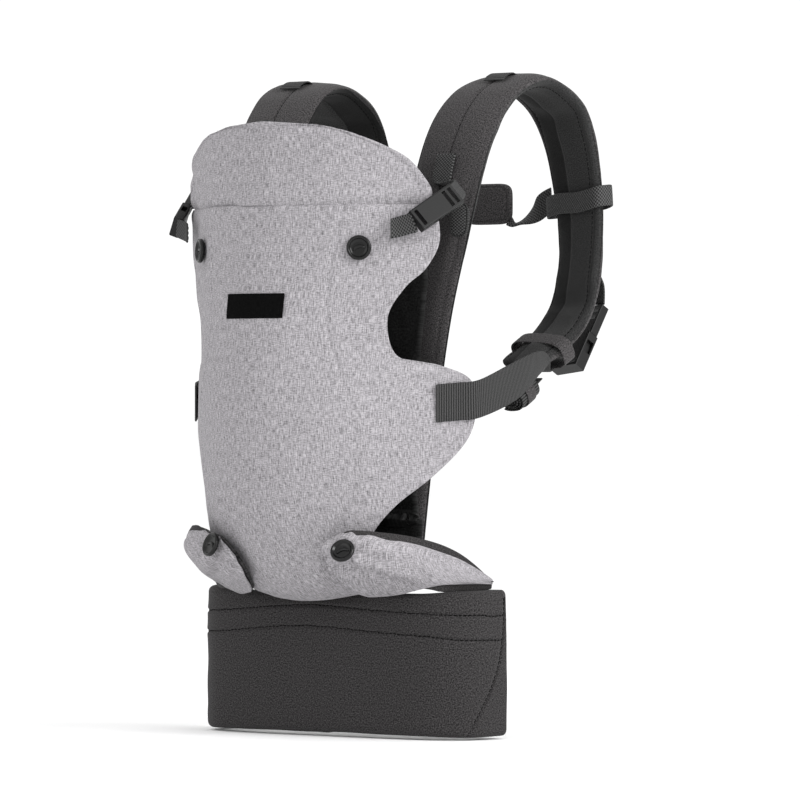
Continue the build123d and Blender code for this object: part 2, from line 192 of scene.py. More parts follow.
def cloth_sheet(name, front, thickness, material, body="carrier"):
    """A closed sheet with rounded rims, its front face on a grid of points (bottom to top, left to right)."""
    rows, columns = front.shape[:2]
    out = grid_normals(front)
    half = thickness / 2
    middle = front - out * half
    across = arc_lengths(front, 1)
    flow = np.stack([across - across[:, columns // 2][:, None],
                     np.broadcast_to(arc_lengths(front, 0)[:, columns // 2][:, None], (rows, columns)),
                     np.zeros((rows, columns))], axis=-1)
    rings = []
    flows = []

    def ring(i, shift, scale):
        m = middle[i] + shift
        h = half * scale
        n = out[i]
        f = flow[i]
        right = unit(m[-1] - m[-2])
        left = unit(m[0] - m[1])
        line = list(m + n * h)
        line += [m[-1] + (n[-1] * math.cos(a) + right * math.sin(a)) * h for a in RIM_TURNS]
        line += list((m - n * h)[::-1])
        line += [m[0] + (-n[0] * math.cos(a) + left * math.sin(a)) * h for a in RIM_TURNS]
        rings.append(line)
        flows.append(list(f) + [f[-1]] * RIM + list(f[::-1]) + [f[0]] * RIM)

    down = unit(middle[0] - middle[1])
    up = unit(middle[-1] - middle[-2])
    for a in END_TURNS:
        ring(0, down * half * math.sin(a), math.cos(a))
    for i in range(rows):
        ring(i, 0.0, 1.0)
    for a in reversed(END_TURNS):
        ring(rows - 1, up * half * math.sin(a), math.cos(a))
    rings = np.array(rings)
    total, size = rings.shape[:2]
    faces = ring_faces(total, size)
    for first in (0, (total - 1) * size):
        front_line = [first + j for j in range(columns)]
        back_line = [first + columns + RIM + (columns - 1 - j) for j in range(columns)]
        for j in range(columns - 1):
            faces.append((front_line[j], front_line[j + 1], back_line[j + 1], back_line[j]))
        faces.append((front_line[-1], *[first + columns + k for k in range(RIM)], back_line[-1]))
        faces.append((back_line[0], *[first + 2 * columns + RIM + k for k in range(RIM)], front_line[0]))
    return add_mesh(name, rings.reshape(-1, 3), faces, np.array(flows).reshape(-1, 3), material, body)


def ribbon_grid(rows, steps, columns=7):
    """The middle grid of flat webbing: each row is x, depth, z, width and the width's direction."""
    line = blend_rows(rows, steps)
    places = np.array([at(*r[:3]) for r in line])
    across = unit(line[:, 4:7]) * line[:, 3:4] / 2
    v = np.linspace(-1, 1, columns)
    return places[:, None, :] + across[:, None, :] * v[None, :, None]


def webbing(name, grid, thickness, body="carrier", look="webbing"):
    front = grid + grid_normals(grid) * thickness / 2
    return cloth_sheet(name, front, thickness, looks[look], body)


def joined(name, parts, material, body="carrier"):
    """One object from several lists of points and faces."""
    points = []
    faces = []
    for part_points, part_faces in parts:
        first = len(points)
        points += list(part_points)
        faces += [tuple(first + i for i in face) for face in part_faces]
    return add_mesh(name, points, faces, points, material, body)


STITCH_TAPER = ((0, 0.25), (0.12, 0.9), (0.5, 1.0), (0.88, 0.9), (1, 0.25))
STITCH_TURNS = np.linspace(0, 2 * math.pi, 6, endpoint=False)


def thread_parts(line, normals, length, gap, radius):
    """Short sewn stitches lying along a line of points."""
    run = arc_lengths(line, 0)
    count = max(1, int(run[-1] // (length + gap)))
    parts = []
    for start in np.linspace(0, run[-1] - length, count):
        places = []
        for share, size in STITCH_TAPER:
            s = start + share * length
            middle = np.array([np.interp(s, run, line[:, k]) for k in range(3)])
            out = unit(np.array([np.interp(s, run, normals[:, k]) for k in range(3)]))
            places.append((middle, out, size))
        tangent = unit(places[-1][0] - places[0][0])
        rings = []
        for middle, out, size in places:
            side = unit(np.cross(tangent, out))
            rings.append([middle + (out * math.sin(a) + side * math.cos(a)) * radius * size
                          for a in STITCH_TURNS])
        parts.append(tube_mesh(np.array(rings)))
    return parts


def on_grid(grid, row, column):
    """Places on a grid at fractional rows and columns."""
    row, column = np.asarray(row, float), np.asarray(column, float)
    i = np.clip(row.astype(int), 0, grid.shape[0] - 2)
    j = np.clip(column.astype(int), 0, grid.shape[1] - 2)
    u, v = (row - i)[..., None], (column - j)[..., None]
    low = grid[i, j] * (1 - v) + grid[i, j + 1] * v
    high = grid[i + 1, j] * (1 - v) + grid[i + 1, j + 1] * v
    return low * (1 - u) + high * u


# ---- cloth simulation of padded forms ----
SETTLING_FRAMES = 20
SMOOTHING_PASSES = 6


def settled(rings, pressure, cap):
    """How far the points of a coarse closed form move when its cloth fills out, at most cap."""
    piece = mesh_object("settling", *tube_mesh(rings))
    mesh = piece.data
    cloth = piece.modifiers.new("Cloth", "CLOTH")
    cloth.settings.quality = 6
    cloth.settings.mass = 0.3
    cloth.settings.tension_stiffness = 12
    cloth.settings.compression_stiffness = 12
    cloth.settings.shear_stiffness = 4
    cloth.settings.bending_stiffness = 0.3
    cloth.settings.use_pressure = True
    cloth.settings.uniform_pressure_force = pressure
    cloth.settings.effector_weights.gravity = 0
    scene = bpy.context.scene
    for number in range(1, SETTLING_FRAMES + 1):
        scene.frame_set(number)
    shaped = piece.evaluated_get(bpy.context.evaluated_depsgraph_get()).to_mesh()
    moved = np.zeros(len(shaped.vertices) * 3)
    shaped.vertices.foreach_get("co", moved)
    moved = moved.reshape(-1, 3)[:rings.shape[0] * rings.shape[1]].reshape(rings.shape) / MM
    bpy.data.objects.remove(piece)
    bpy.data.meshes.remove(mesh)
    scene.frame_set(1)
    offset = moved - rings
    offset -= offset.mean(axis=(0, 1))
    for _ in range(SMOOTHING_PASSES):
        around = np.roll(offset, 1, axis=1) + np.roll(offset, -1, axis=1)
        along = np.concatenate([offset[:1], offset[:-1]]) + np.concatenate([offset[1:], offset[-1:]])
        offset = offset / 3 + (around + along) / 6
    size = np.linalg.norm(offset, axis=-1, keepdims=True)
    return offset * np.minimum(1, cap / np.maximum(size, 1e-6))


# ---- materials ----
def node_material(name):
    material = bpy.data.materials.new(name)
    material.use_nodes = True
    nodes = material.node_tree.nodes
    return material, nodes, material.node_tree.links, nodes["Principled BSDF"]


def value_math(nodes, links, kind, a, b):
    node = nodes.new("ShaderNodeMath")
    node.operation = kind
    for socket, value in zip(node.inputs, (a, b)):
        if isinstance(value, (int, float)):
            socket.default_value = value
        else:
            links.new(value, socket)
    return node.outputs[0]


def stretched_noise(nodes, links, source, scale, detail):
    """Noise over the cloth whose grains are as long and wide as scale's inverse, in metres."""
    mapping = nodes.new("ShaderNodeMapping")
    mapping.inputs["Scale"].default_value = scale
    noise = nodes.new("ShaderNodeTexNoise")
    noise.inputs["Scale"].default_value = 1.0
    noise.inputs["Detail"].default_value = detail
    links.new(source, mapping.inputs["Vector"])
    links.new(mapping.outputs["Vector"], noise.inputs["Vector"])
    return noise.outputs["Fac"]


def flow_source(nodes):
    node = nodes.new("ShaderNodeAttribute")
    node.attribute_name = "flow"
    return node.outputs["Vector"]


def ramp(nodes, links, source, stops):
    node = nodes.new("ShaderNodeValToRGB")
    while len(node.color_ramp.elements) < len(stops):
        node.color_ramp.elements.new(0.5)
    for element, (place, colour) in zip(node.color_ramp.elements, stops):
        element.position = place
        element.color = (*colour, 1)
    links.new(source, node.inputs["Fac"])
    return node.outputs["Color"]


def bumped(nodes, links, shader, height, distance):
    node = nodes.new("ShaderNodeBump")
    node.inputs["Distance"].default_value = distance
    node.inputs["Strength"].default_value = 1.0
    links.new(height, node.inputs["Height"])
    links.new(node.outputs["Normal"], shader.inputs["Normal"])


NEUTRAL = (1.0, 1.0, 1.0)


def tinted(level, tint=NEUTRAL):
    return tuple(level * t for t in tint)


def finished(shader, colour, roughness, specular, links):
    links.new(colour, shader.inputs["Base Color"])
    shader.inputs["Roughness"].default_value = roughness
    shader.inputs["Specular IOR Level"].default_value = specular


def woven(name, dark, light, warp, weft, mix=0.45, sheen=0.1, tint=NEUTRAL, spread=0.13, specular=0.12):
    """Woven cloth: long thin threads both ways, some darker than others, over a fine grain."""
    material, nodes, links, shader = node_material(name)
    source = flow_source(nodes)
    up = stretched_noise(nodes, links, source, warp, 1.0)
    side = stretched_noise(nodes, links, source, weft, 1.0)
    grain = stretched_noise(nodes, links, source, (1300, 1300, 1), 0.0)
    threads = value_math(nodes, links, "ADD", value_math(nodes, links, "MULTIPLY", up, mix),
                         value_math(nodes, links, "MULTIPLY", side, 0.85 - mix))
    threads = value_math(nodes, links, "ADD", threads, value_math(nodes, links, "MULTIPLY", grain, 0.15))
    stops = [(0.5 - spread, dark), (0.5, (dark + light) / 2), (0.5 + spread, light)]
    colour = ramp(nodes, links, threads, [(place, tinted(level, tint)) for place, level in stops])
    finished(shader, colour, 0.92, specular, links)
    shader.inputs["Sheen Weight"].default_value = sheen
    shader.inputs["Sheen Roughness"].default_value = 0.5
    bumped(nodes, links, shader, threads, 0.00025)
    return material


def ribbed(name, dark, light, rib, mesh, depth=0.0004):
    """Webbing: ribs across its width, or with mesh near 1 a woven net of small dark holes."""
    material, nodes, links, shader = node_material(name)
    source = flow_source(nodes)
    split = nodes.new("ShaderNodeSeparateXYZ")
    links.new(source, split.inputs[0])
    run = value_math(nodes, links, "MULTIPLY", split.outputs[1], 2 * math.pi / (rib * MM))
    side = value_math(nodes, links, "MULTIPLY", split.outputs[0], 2 * math.pi / (rib * 1.25 * MM))
    lines = value_math(nodes, links, "SINE", run, 0.0)
    threads = value_math(nodes, links, "SINE", side, 0.0)
    holes = value_math(nodes, links, "MULTIPLY", lines, threads)
    wave = value_math(nodes, links, "ADD", value_math(nodes, links, "MULTIPLY", lines, 0.3 * (1 - mesh)),
                      value_math(nodes, links, "MULTIPLY", holes, 0.34 * mesh))
    grain = stretched_noise(nodes, links, source, (900, 900, 1), 1.0)
    height = value_math(nodes, links, "ADD", value_math(nodes, links, "ADD", wave, 0.25),
                        value_math(nodes, links, "MULTIPLY", grain, 0.5))
    colour = ramp(nodes, links, height, [(0.25, tinted(dark)), (0.8, tinted(light))])
    finished(shader, colour, 0.7, 0.2, links)
    bumped(nodes, links, shader, height, depth)
    return material


def two_zoned(name, first, second, edge):
    """Cloth whose flow has one look on one side of a line along it, and another on the other side."""
    material, nodes, links, shader = node_material(name)
    split = nodes.new("ShaderNodeSeparateXYZ")
    source = flow_source(nodes)
    links.new(source, split.inputs[0])
    side = value_math(nodes, links, "GREATER_THAN", split.outputs[0], edge * MM)
    grain = stretched_noise(nodes, links, source, (1000, 1000, 1), 1.0)
    dark = ramp(nodes, links, grain, [(0.35, tinted(first * 0.5)), (0.65, tinted(first * 1.5))])
    light = ramp(nodes, links, grain, [(0.35, tinted(second * 0.5)), (0.65, tinted(second * 1.5))])
    mix = nodes.new("ShaderNodeMixRGB")
    links.new(side, mix.inputs["Fac"])
    links.new(dark, mix.inputs["Color1"])
    links.new(light, mix.inputs["Color2"])
    finished(shader, mix.outputs["Color"], 0.92, 0.12, links)
    shader.inputs["Sheen Weight"].default_value = 0.05
    bumped(nodes, links, shader, grain, 0.0002)
    return material


def plastic(name, level, roughness, specular):
    """Moulded plastic with a very fine grain."""
    material, nodes, links, shader = node_material(name)
    source = nodes.new("ShaderNodeTexCoord").outputs["Object"]
    noise = stretched_noise(nodes, links, source, (1800, 1800, 1800), 1.0)
    colour = ramp(nodes, links, noise, [(0.3, tinted(level * 0.85)), (0.7, tinted(level * 1.15))])
    finished(shader, colour, roughness, specular, links)
    bumped(nodes, links, shader, noise, 0.00004)
    return material


GREY_TINT = (1.02, 0.98, 1.03)
DARK_TINT = (1.04, 0.98, 1.0)
looks = {
    "melange": woven("heathered_grey_cloth", 0.09, 0.44, (1300, 150, 1), (260, 1400, 1), 0.46, 0.06,
                     GREY_TINT, 0.17),
    "charcoal": woven("charcoal_canvas", 0.002, 0.056, (1150, 700, 1), (700, 1150, 1), 0.42, 0.05, DARK_TINT),
    "strap": woven("strap_canvas", 0.006, 0.080, (1150, 700, 1), (700, 1150, 1), 0.42, 0.06, DARK_TINT),
    "lining": woven("dark_lining", 0.003, 0.020, (700, 450, 1), (450, 700, 1), 0.42, 0.05),
    "inside": two_zoned("strap_inside_canvas", 0.010, 0.028, -4.0),
    "webbing": ribbed("ribbed_webbing", 0.003, 0.060, 2.1, 0.15),
    "net": ribbed("netted_webbing", 0.002, 0.085, 2.6, 1.0),
    "elastic": ribbed("black_elastic", 0.003, 0.040, 1.6, 0.3, 0.0003),
    "buckle": plastic("satin_black_plastic", 0.006, 0.42, 0.22),
    "button": plastic("gloss_black_plastic", 0.003, 0.22, 0.28),
    "thread": woven("dark_thread", 0.001, 0.004, (900, 75, 1), (80, 900, 1), sheen=0.0, specular=0.03),
    "label": woven("black_satin_label", 0.002, 0.005, (1500, 200, 1), (200, 1500, 1), 0.5, 0.0,
                   specular=0.02),
}


# ---- waistband ----
def band_line():
    half = blend_rows([(0, 0), (60, 0.6), (100, 4.0), (129, 13.0), (147, 32), (152, 70)], 14)
    return np.vstack([half[:0:-1] * (-1, 1), half])


def band_point_tables():
    line = band_line()
    run = arc_lengths(line, 0)
    run = run - run[-1] / 2
    tangent = unit(np.gradient(line, axis=0))
    return line, run, tangent


BAND_LINE, BAND_RUN, BAND_TANGENT = band_point_tables()
BAND_HALF_RUN = BAND_RUN[-1]


def band_seam_run(z):
    """Distance from the centre to the end piece's curved seam, at a height."""
    from_end = along_curve([(-10, 53), (4, 47), (24, 34), (45, 22), (70, 12.5), (100, 7.5), (130, 6.0)], z)
    return BAND_HALF_RUN - from_end


def band_outline():
    """The band's section from the middle of its back, over the top and down its front, with its run."""
    deep, tall, corner = BAND_THICKNESS / 2 - 0.6, BAND_TOP / 2 + 0.6, 5.5
    turns = np.linspace(0, math.pi / 2, 12)
    bend = np.stack([deep - corner * (1 - np.cos(turns)), tall - corner * (1 - np.sin(turns))], axis=-1)
    quarter = np.vstack([[(deep, 0)], bend, [(0, tall)]])
    upper = np.vstack([quarter * (-1, 1), quarter[-2::-1]])
    line = np.vstack([upper, upper[-2::-1] * (1, -1)])
    run = arc_lengths(line, 0)
    return line, run / run[-1]


BAND_OUTLINE, BAND_OUTLINE_SHARE = band_outline()


def band_section(v):
    """Across and up in the band's section, a little crowned on its faces."""
    across = np.interp(v, BAND_OUTLINE_SHARE, BAND_OUTLINE[:, 0])
    up = np.interp(v, BAND_OUTLINE_SHARE, BAND_OUTLINE[:, 1])
    return across * (1 + 0.08 * (1 - (up / BAND_TOP * 2) ** 2)), up


def band_point(run, v, swell=1.0):
    """Points on the band's surface and their outward directions."""
    across, up = band_section(v)
    share = np.clip((BAND_HALF_RUN - np.abs(run)) / 6.0, 0, 1)
    round_off = np.sqrt(1 - (1 - share) ** 2)
    x = np.interp(run, BAND_RUN, BAND_LINE[:, 0])
    d = np.interp(run, BAND_RUN, BAND_LINE[:, 1])
    tx = np.interp(run, BAND_RUN, BAND_TANGENT[:, 0])
    td = np.interp(run, BAND_RUN, BAND_TANGENT[:, 1])
    offset = across * np.maximum(round_off, 0.04) * swell - BAND_THICKNESS / 2
    tall = up * (0.985 + 0.015 * round_off)
    low_side = 2.2 * np.clip(np.abs(run) / BAND_HALF_RUN, 0, 1) ** 3 * (up < 0)
    return np.stack([x + td * offset, BAND_FRONT + d - tx * offset,
                     BAND_TOP / 2 + tall + low_side], axis=-1)


def band_offsets():
    coarse_runs = np.linspace(-BAND_HALF_RUN, BAND_HALF_RUN, 76)
    coarse_turns = np.linspace(0, 1, 44, endpoint=False)
    run, v = np.meshgrid(coarse_runs, coarse_turns, indexing="ij")
    rings = band_point(run, v, 0.9)
    return settled(rings, 3.0, 3.2)


def band_details(points, run):
    """Stitched lines, the centre crease and soft dents of the band's front face, as depths inwards."""
    z = points[..., 2]
    x = points[..., 0]
    half = BAND_LINE[len(BAND_LINE) // 2:]
    front = 1.0 * (points[..., 1] < BAND_FRONT + np.interp(np.abs(x), half[:, 0], half[:, 1]) + 9)
    depth = 0.0
    for line in STITCH_LINES:
        depth = depth + 1.7 * ridge(z - along_curve(line, x), 1.3)
        depth = depth - 0.4 * ridge(z - along_curve(line, x), 6.0)
    depth = depth + 0.8 * ridge(x - 1.0, 5.0) * (z < 96)
    depth = depth + 1.5 * ridge(np.abs(run) - band_seam_run(z), 1.5)
    depth = depth - 0.5 * ridge(np.abs(run) - band_seam_run(z) + 5, 4.5)
    depth = depth + 0.45 * ripple(points, 75, 5) + 0.16 * ripple(points, 26, 6)
    return depth * front


STITCH_LINES = [
    [(-160, 84), (-110, 86), (-45, 91.6), (0, 92.6), (60, 89.0), (110, 86.2), (135, 83.5), (160, 82)],
    [(-160, 102), (-110, 104), (-45, 109), (0, 110.3), (60, 107.2), (110, 105), (135, 104), (160, 103)],
]


BAND_COLUMNS = 280


def band_piece(name, low_run, high_run, offsets, rows):
    """One piece of the band between two seams, whose distances depend on the height."""
    v = np.linspace(0, 1, BAND_COLUMNS, endpoint=False)
    heights = band_point(np.zeros_like(v), v)[:, 2]
    low, high = low_run(heights), high_run(heights)
    share = np.linspace(0, 1, rows)[:, None]
    run = low[None, :] * (1 - share) + high[None, :] * share
    points = band_point(run, np.broadcast_to(v, run.shape))
    closed = np.concatenate([offsets, offsets[:, :1]], axis=1)
    row = (run + BAND_HALF_RUN) / (2 * BAND_HALF_RUN) * (closed.shape[0] - 1.001)
    column = np.broadcast_to(v, run.shape) * (closed.shape[1] - 1)
    points = points + on_grid(closed, row, column)
    normal = unit(points - band_point(run, np.broadcast_to(v, run.shape), 0.3))
    points = points - normal * band_details(points, run)[..., None]
    round_run = np.broadcast_to(arc_lengths(points[rows // 2][None], 1), run.shape)
    flow = np.stack([run, round_run, np.zeros_like(run)], axis=-1).reshape(-1, 3)
    mesh_points, faces = tube_mesh(points)
    flow = np.vstack([flow, flow[:1], flow[-1:]])
    piece = add_mesh(name, mesh_points, faces, flow, looks["charcoal"])
    return piece


def build_waistband():
    offsets = band_offsets()

    def left_seam(z):
        return -band_seam_run(z)

    def whole(z):
        return np.full_like(z, BAND_HALF_RUN)

    cover = band_piece("waistband_padded", left_seam, band_seam_run, offsets, 250)
    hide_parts("waistband_cover", "waistband_foam")
    right = band_piece("waistband_end_right_padded", band_seam_run, whole, offsets, 44)
    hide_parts("waistband_end_right")
    left = band_piece("waistband_end_left_padded", lambda z: -whole(z), left_seam, offsets, 44)
    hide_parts("waistband_end_left")
    sew_band(cover)


def sew_band(cover):
    """Stitches along the band's two arched lines and beside its end seams, laid on the finished cover."""
    tree = surface_of(cover)
    middle = len(BAND_OUTLINE) // 2
    face = slice(middle - 14, middle + 15)
    parts = []

    def stitch(run, z):
        v = np.interp(BAND_TOP / 2 - z, -BAND_OUTLINE[face, 1], BAND_OUTLINE_SHARE[face])
        hits = [tree.find_nearest(Vector(place * MM)) for place in band_point(run, v)]
        places = np.array([hit[0] for hit in hits]) / MM
        outs = unit(places - band_point(run, v, 0.3))
        return thread_parts(places + outs * 0.2, outs, 3.2, 0.9, 0.40)

    run = np.linspace(9 - BAND_HALF_RUN, BAND_HALF_RUN - 9, 260)
    for line in STITCH_LINES:
        parts += stitch(run, along_curve(line, np.interp(run, BAND_RUN, BAND_LINE[:, 0])))
    z = np.linspace(6, 119, 60)
    for side in (-1, 1):
        parts += stitch(side * (band_seam_run(z) - 3.4), z)
    joined("waistband_stitching", parts, looks["thread"])


def surface_of(piece):
    points = [v.co.copy() for v in piece.data.vertices]
    return BVHTree.FromPolygons(points, [tuple(p.vertices) for p in piece.data.polygons])


def from_front(tree, x, z):
    """Where lines of sight from the front meet a surface."""
    places = []
    for px, pz in zip(x, z):
        hit = tree.ray_cast(Vector((px * MM, -0.5, pz * MM)), Vector(Y))[0]
        if hit is None:
            hit = tree.find_nearest(Vector((px * MM, BAND_FRONT * MM, pz * MM)))[0]
        places.append(np.array(hit) / MM)
    return np.array(places)


# ---- front panel ----
PANEL_ROWS = [
    [121.0, -0.6, 62.0, -0.4, 121.0],
    [114.5, -22.0, 68.0, -13.0, 126.5],
    [127.0, -47.0, 75.0, -27.0, 139.0],
    [148.0, -66.0, 80.0, -37.0, 154.0],
    [172.0, -80.0, 87.0, -38.5, 173.0],
    [196.0, -89.0, 102.5, -27.6, 196.0],
    [223.0, -95.0, 127.0, -3.0, 223.0],
    [251.0, -98.0, 144.0, 17.0, 251.0],
    [278.0, -98.5, 149.0, 22.0, 278.0],
    [304.0, -97.0, 145.6, 19.0, 302.0],
    [316.0, -96.0, 129.0, -2.0, 314.0],
    [328.0, -94.5, 106.0, -30.0, 322.0],
    [353.0, -92.0, 101.4, -37.0, 353.0],
    [378.0, -88.5, 113.0, -29.0, 378.0],
    [395.0, -86.0, 126.0, -16.0, 395.0],
    [418.0, -83.5, 134.0, -8.0, 418.0],
    [448.0, -82.0, 132.0, -10.0, 448.0],
]
HEAD_ROWS = [
    [448.6, -82.0, 127.0, -15.0, 448.6],
    [458.0, -81.2, 130.5, -14.0, 458.0],
    [468.0, -80.5, 128.0, -18.0, 468.0],
    [486.0, -79.5, 118.0, -30.0, 486.0],
    [500.0, -79.0, 103.0, -42.0, 497.0],
    [510.0, -78.5, 84.0, -54.0, 506.0],
    [515.0, -78.0, 66.0, -61.5, 511.0],
    [518.0, -78.0, 50.0, -67.5, 514.5],
]
DART_LINE = [(127, 50), (160, 60), (183, 68.8), (208, 77.8), (242, 83), (276, 82.2), (309, 72.8), (347, 63.3),
             (400, 65), (448, 73)]


def arched(rows, steps, columns):
    rows = blend_rows(rows, steps)
    u = np.linspace(-1, 1, columns)
    swept = np.abs(u) ** 1.9
    x = rows[:, 2:3] * u
    depth = rows[:, 1:2] + (rows[:, 3:4] - rows[:, 1:2]) * swept
    z = rows[:, 0:1] + (rows[:, 4:5] - rows[:, 0:1]) * swept
    return np.stack([x, BAND_FRONT + depth, z], axis=-1)


def panel_relief(grid, row_share):
    """How far the panel's cloth stands out or in: darts, edge seams, pouch folds and soft dents."""
    x, z = grid[..., 0], grid[..., 2]
    dart = along_curve(DART_LINE, np.clip(z, 127, 448))
    out = -1.3 * ridge(np.abs(x) - dart, 1.5) + 0.5 * ridge(np.abs(x) - dart, 9)
    edge = arc_lengths(grid, 1)
    near = np.minimum(edge, edge[:, -1:] - edge)
    out = out - 0.5 * ridge(near - 7, 1.4) + 0.35 * ridge(near - 3, 2.6)
    top = HEAD_SEAM_Z - z
    out = out - 1.1 * ridge(top, 1.6) + 0.7 * ridge(top - 6, 5)
    out = out + 0.9 * ripple(grid * (1, 1, 0.45), 62, 21) + 0.28 * ripple(grid * (1, 1, 0.5), 24, 22)
    low = np.clip((215 - z) / 70, 0, 1)
    for start, lean, width, size in ((30, 0.42, 9, 2.0), (52, 0.55, 8, 1.8), (8, 0.3, 11, 1.2)):
        past = np.abs(x) - (start + (z - 120) * lean)
        out = out + size * low * (ridge(past, width) - 0.7 * ridge(past - width * 1.3, width * 0.7))
    out = out * np.clip((row_share - 0.05) / 0.09, 0, 1)
    wing = np.clip((np.abs(x) - 95) / 40, 0, 1) * np.clip((z - 195) / 30, 0, 1) * (z < 325)
    out = out + 0.8 * wing * np.sin((z - 0.55 * np.abs(x)) / 9.5)
    return out


def inside_sheet(name, grid, out, body="carrier"):
    """The padded dark lining behind a sheet of cloth, kept just inside the cloth's edges."""
    inner = (grid - out * (PANEL_CLOTH + 2.3))[3:-3:2, 4:-4:2]
    inner = inner + grid_normals(inner) * (0.6 * ripple(inner, 40, 25))[..., None]
    return cloth_sheet(name, inner, LINING, looks["lining"], body)


def build_panel():
    grid = arched(PANEL_ROWS, 16, 171)
    out = grid_normals(grid)
    share = np.linspace(0, 1, grid.shape[0])[:, None]
    front = grid + out * panel_relief(grid, share)[..., None]
    cover = cloth_sheet("front_panel_cloth", front, PANEL_CLOTH, looks["melange"])
    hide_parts("front_panel_cover")
    lining = inside_sheet("front_panel_inside", grid, out)
    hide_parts("front_panel_lining")
    return cover


def build_head_support():
    grid = arched(HEAD_ROWS, 14, 151)
    out = grid_normals(grid)
    x, z = grid[..., 0], grid[..., 2]
    edge = arc_lengths(grid, 1)
    near = np.minimum(edge, edge[:, -1:] - edge)
    rise = arc_lengths(grid, 0)
    top = rise[-1:] - rise
    near = np.minimum(near, top + 2)
    relief = 0.9 * ripple(grid * (1, 1, 0.6), 58, 31) + 0.25 * ripple(grid, 22, 32)
    relief += -1.0 * ridge(z - 448.6, 2.0) + 1.0 * ridge(z - 456, 6)
    relief += -0.8 * ridge(near - 8, 1.6) + 0.5 * ridge(near - 3.5, 3.0)
    relief += -1.6 * ridge(x + 0.35 * (z - 448) + 112, 5) * ridge(z - 480, 28)
    relief += 1.0 * ridge(x + 0.35 * (z - 448) + 120, 5) * ridge(z - 480, 28)
    front = grid + out * relief[..., None]
    cover = cloth_sheet("head_support_cloth", front, PANEL_CLOTH, looks["melange"], None)
    padding = inside_sheet("head_support_inside", grid, out, None)
    for piece, node in ((cover, "head_support_cover"), (padding, "head_support_padding")):
        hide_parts(node)
        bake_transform(piece)


def build_label(panel):
    tree = surface_of(panel)
    z = np.linspace(353.5, 373.5, 25)
    x = np.linspace(-30.5, 30.5, 61)
    grid = np.array([from_front(tree, x, np.full_like(x, h)) for h in z])
    depth = grid[..., 1]
    for _ in range(12):
        depth = np.pad(depth, 1, mode="edge")
        depth = (depth[1:-1, :-2] + depth[1:-1, 2:] + depth[:-2, 1:-1] + depth[2:, 1:-1]) / 4
    grid[..., 1] = depth
    u = np.abs(x)[None, :]
    v = np.abs(z - 363.5)[:, None]
    border = np.maximum(u - 28.6, v - 8.2)
    lift = 1.05 - 0.35 * ridge(border, 0.7)
    front = grid + grid_normals(grid) * lift[..., None]
    label = cloth_sheet("label_cloth", front, 0.9, looks["label"])
    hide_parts("label_patch")


# ---- bib ----
def build_bib():
    grid = arched([
        [126.5, 9.0, 88.0, 15.0, 126.5],
        [180.0, 20.0, 87.0, 25.0, 180.0],
        [196.0, 21.5, 80.0, 26.0, 196.0],
        [330.0, 25.5, 82.0, 29.5, 330.0],
        [390.0, 26.5, 87.0, 31.0, 390.0],
        [430.0, 27.0, 82.0, 31.5, 426.0],
    ], 26, 91)
    x, z = grid[..., 0], grid[..., 2]
    relief = 0.9 * ripple(grid, 46, 41) + 0.4 * ripple(grid, 17, 42)
    relief += 1.3 * ridge(x - 0.5 * (z - 210) - 20, 6) - 1.2 * ridge(x - 0.5 * (z - 210) - 31, 5)
    relief += 1.2 * ridge(x + 0.7 * (z - 230) - 60, 6)
    relief -= 1.8 * ridge(z - 193, 1.6)
    relief += 0.9 * ridge(z - 187, 5)
    relief = np.clip(relief, -2.6, 2.4)
    front = grid + grid_normals(grid) * relief[..., None]
    piece = cloth_sheet("bib_cloth", front, 5.2, looks["lining"])
    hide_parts("bib")


# ---- shoulder straps ----
STRAP_ROWS = [
    [57.0, 31.0, 124.6, 56.0, 0.0],
    [57.0, 38.0, 178.0, 56.0, 0.0],
    [65.5, 40.5, 270.0, 60.0, 0.0],
    [75.4, 43.5, 351.0, 64.0, 0.0],
    [86.4, 46.0, 412.0, 70.0, 0.0],
    [98.0, 51.0, 473.0, 73.0, 0.0],
    [103.0, 64.0, 514.0, 73.0, 0.0],
    [105.5, 85.0, 540.0, 73.0, 0.0],
    [109.0, 107.0, 553.0, 73.0, 0.0],
    [112.0, 130.0, 557.0, 73.0, -3.0],
    [115.0, 155.0, 550.0, 73.0, -7.0],
    [118.0, 180.0, 533.0, 73.0, -11.0],
    [120.0, 196.0, 504.0, 73.0, -15.0],
    [121.5, 205.0, 465.0, 73.0, -18.0],
    [122.0, 208.5, 430.0, 72.0, -21.0],
    [121.5, 207.0, 398.0, 70.0, -22.0],
    [120.0, 199.0, 369.0, 68.0, -20.0],
    [117.5, 185.0, 348.0, 64.0, -14.0],
    [114.5, 165.0, 332.0, 56.0, -6.0],
    [112.5, 147.0, 322.5, 50.0, 0.0],
    [111.0, 130.0, 313.5, 42.0, 0.0],
]
STRAP_STEPS = 14
STRAP_COLUMNS = 61


def strap_frame():
    """Places, half-width vectors, outward directions and lengths along the strap's middle line."""
    rows = blend_rows(STRAP_ROWS, STRAP_STEPS)
    places = np.array([at(*r[:3]) for r in rows])
    turn = np.radians(rows[:, 4])
    across = np.stack([np.cos(turn), np.sin(turn), np.zeros_like(turn)], axis=-1)
    tangent = unit(np.gradient(places, axis=0))
    out = unit(np.cross(across, tangent))
    run = arc_lengths(places, 0)
    left = run[-1] - run
    end = 15.0
    share = np.clip(left / end, 0.02, 1)
    half = rows[:, 3] / 2 * np.sqrt(1 - (1 - share) ** 2.2)
    return places, across, out, half, run, share


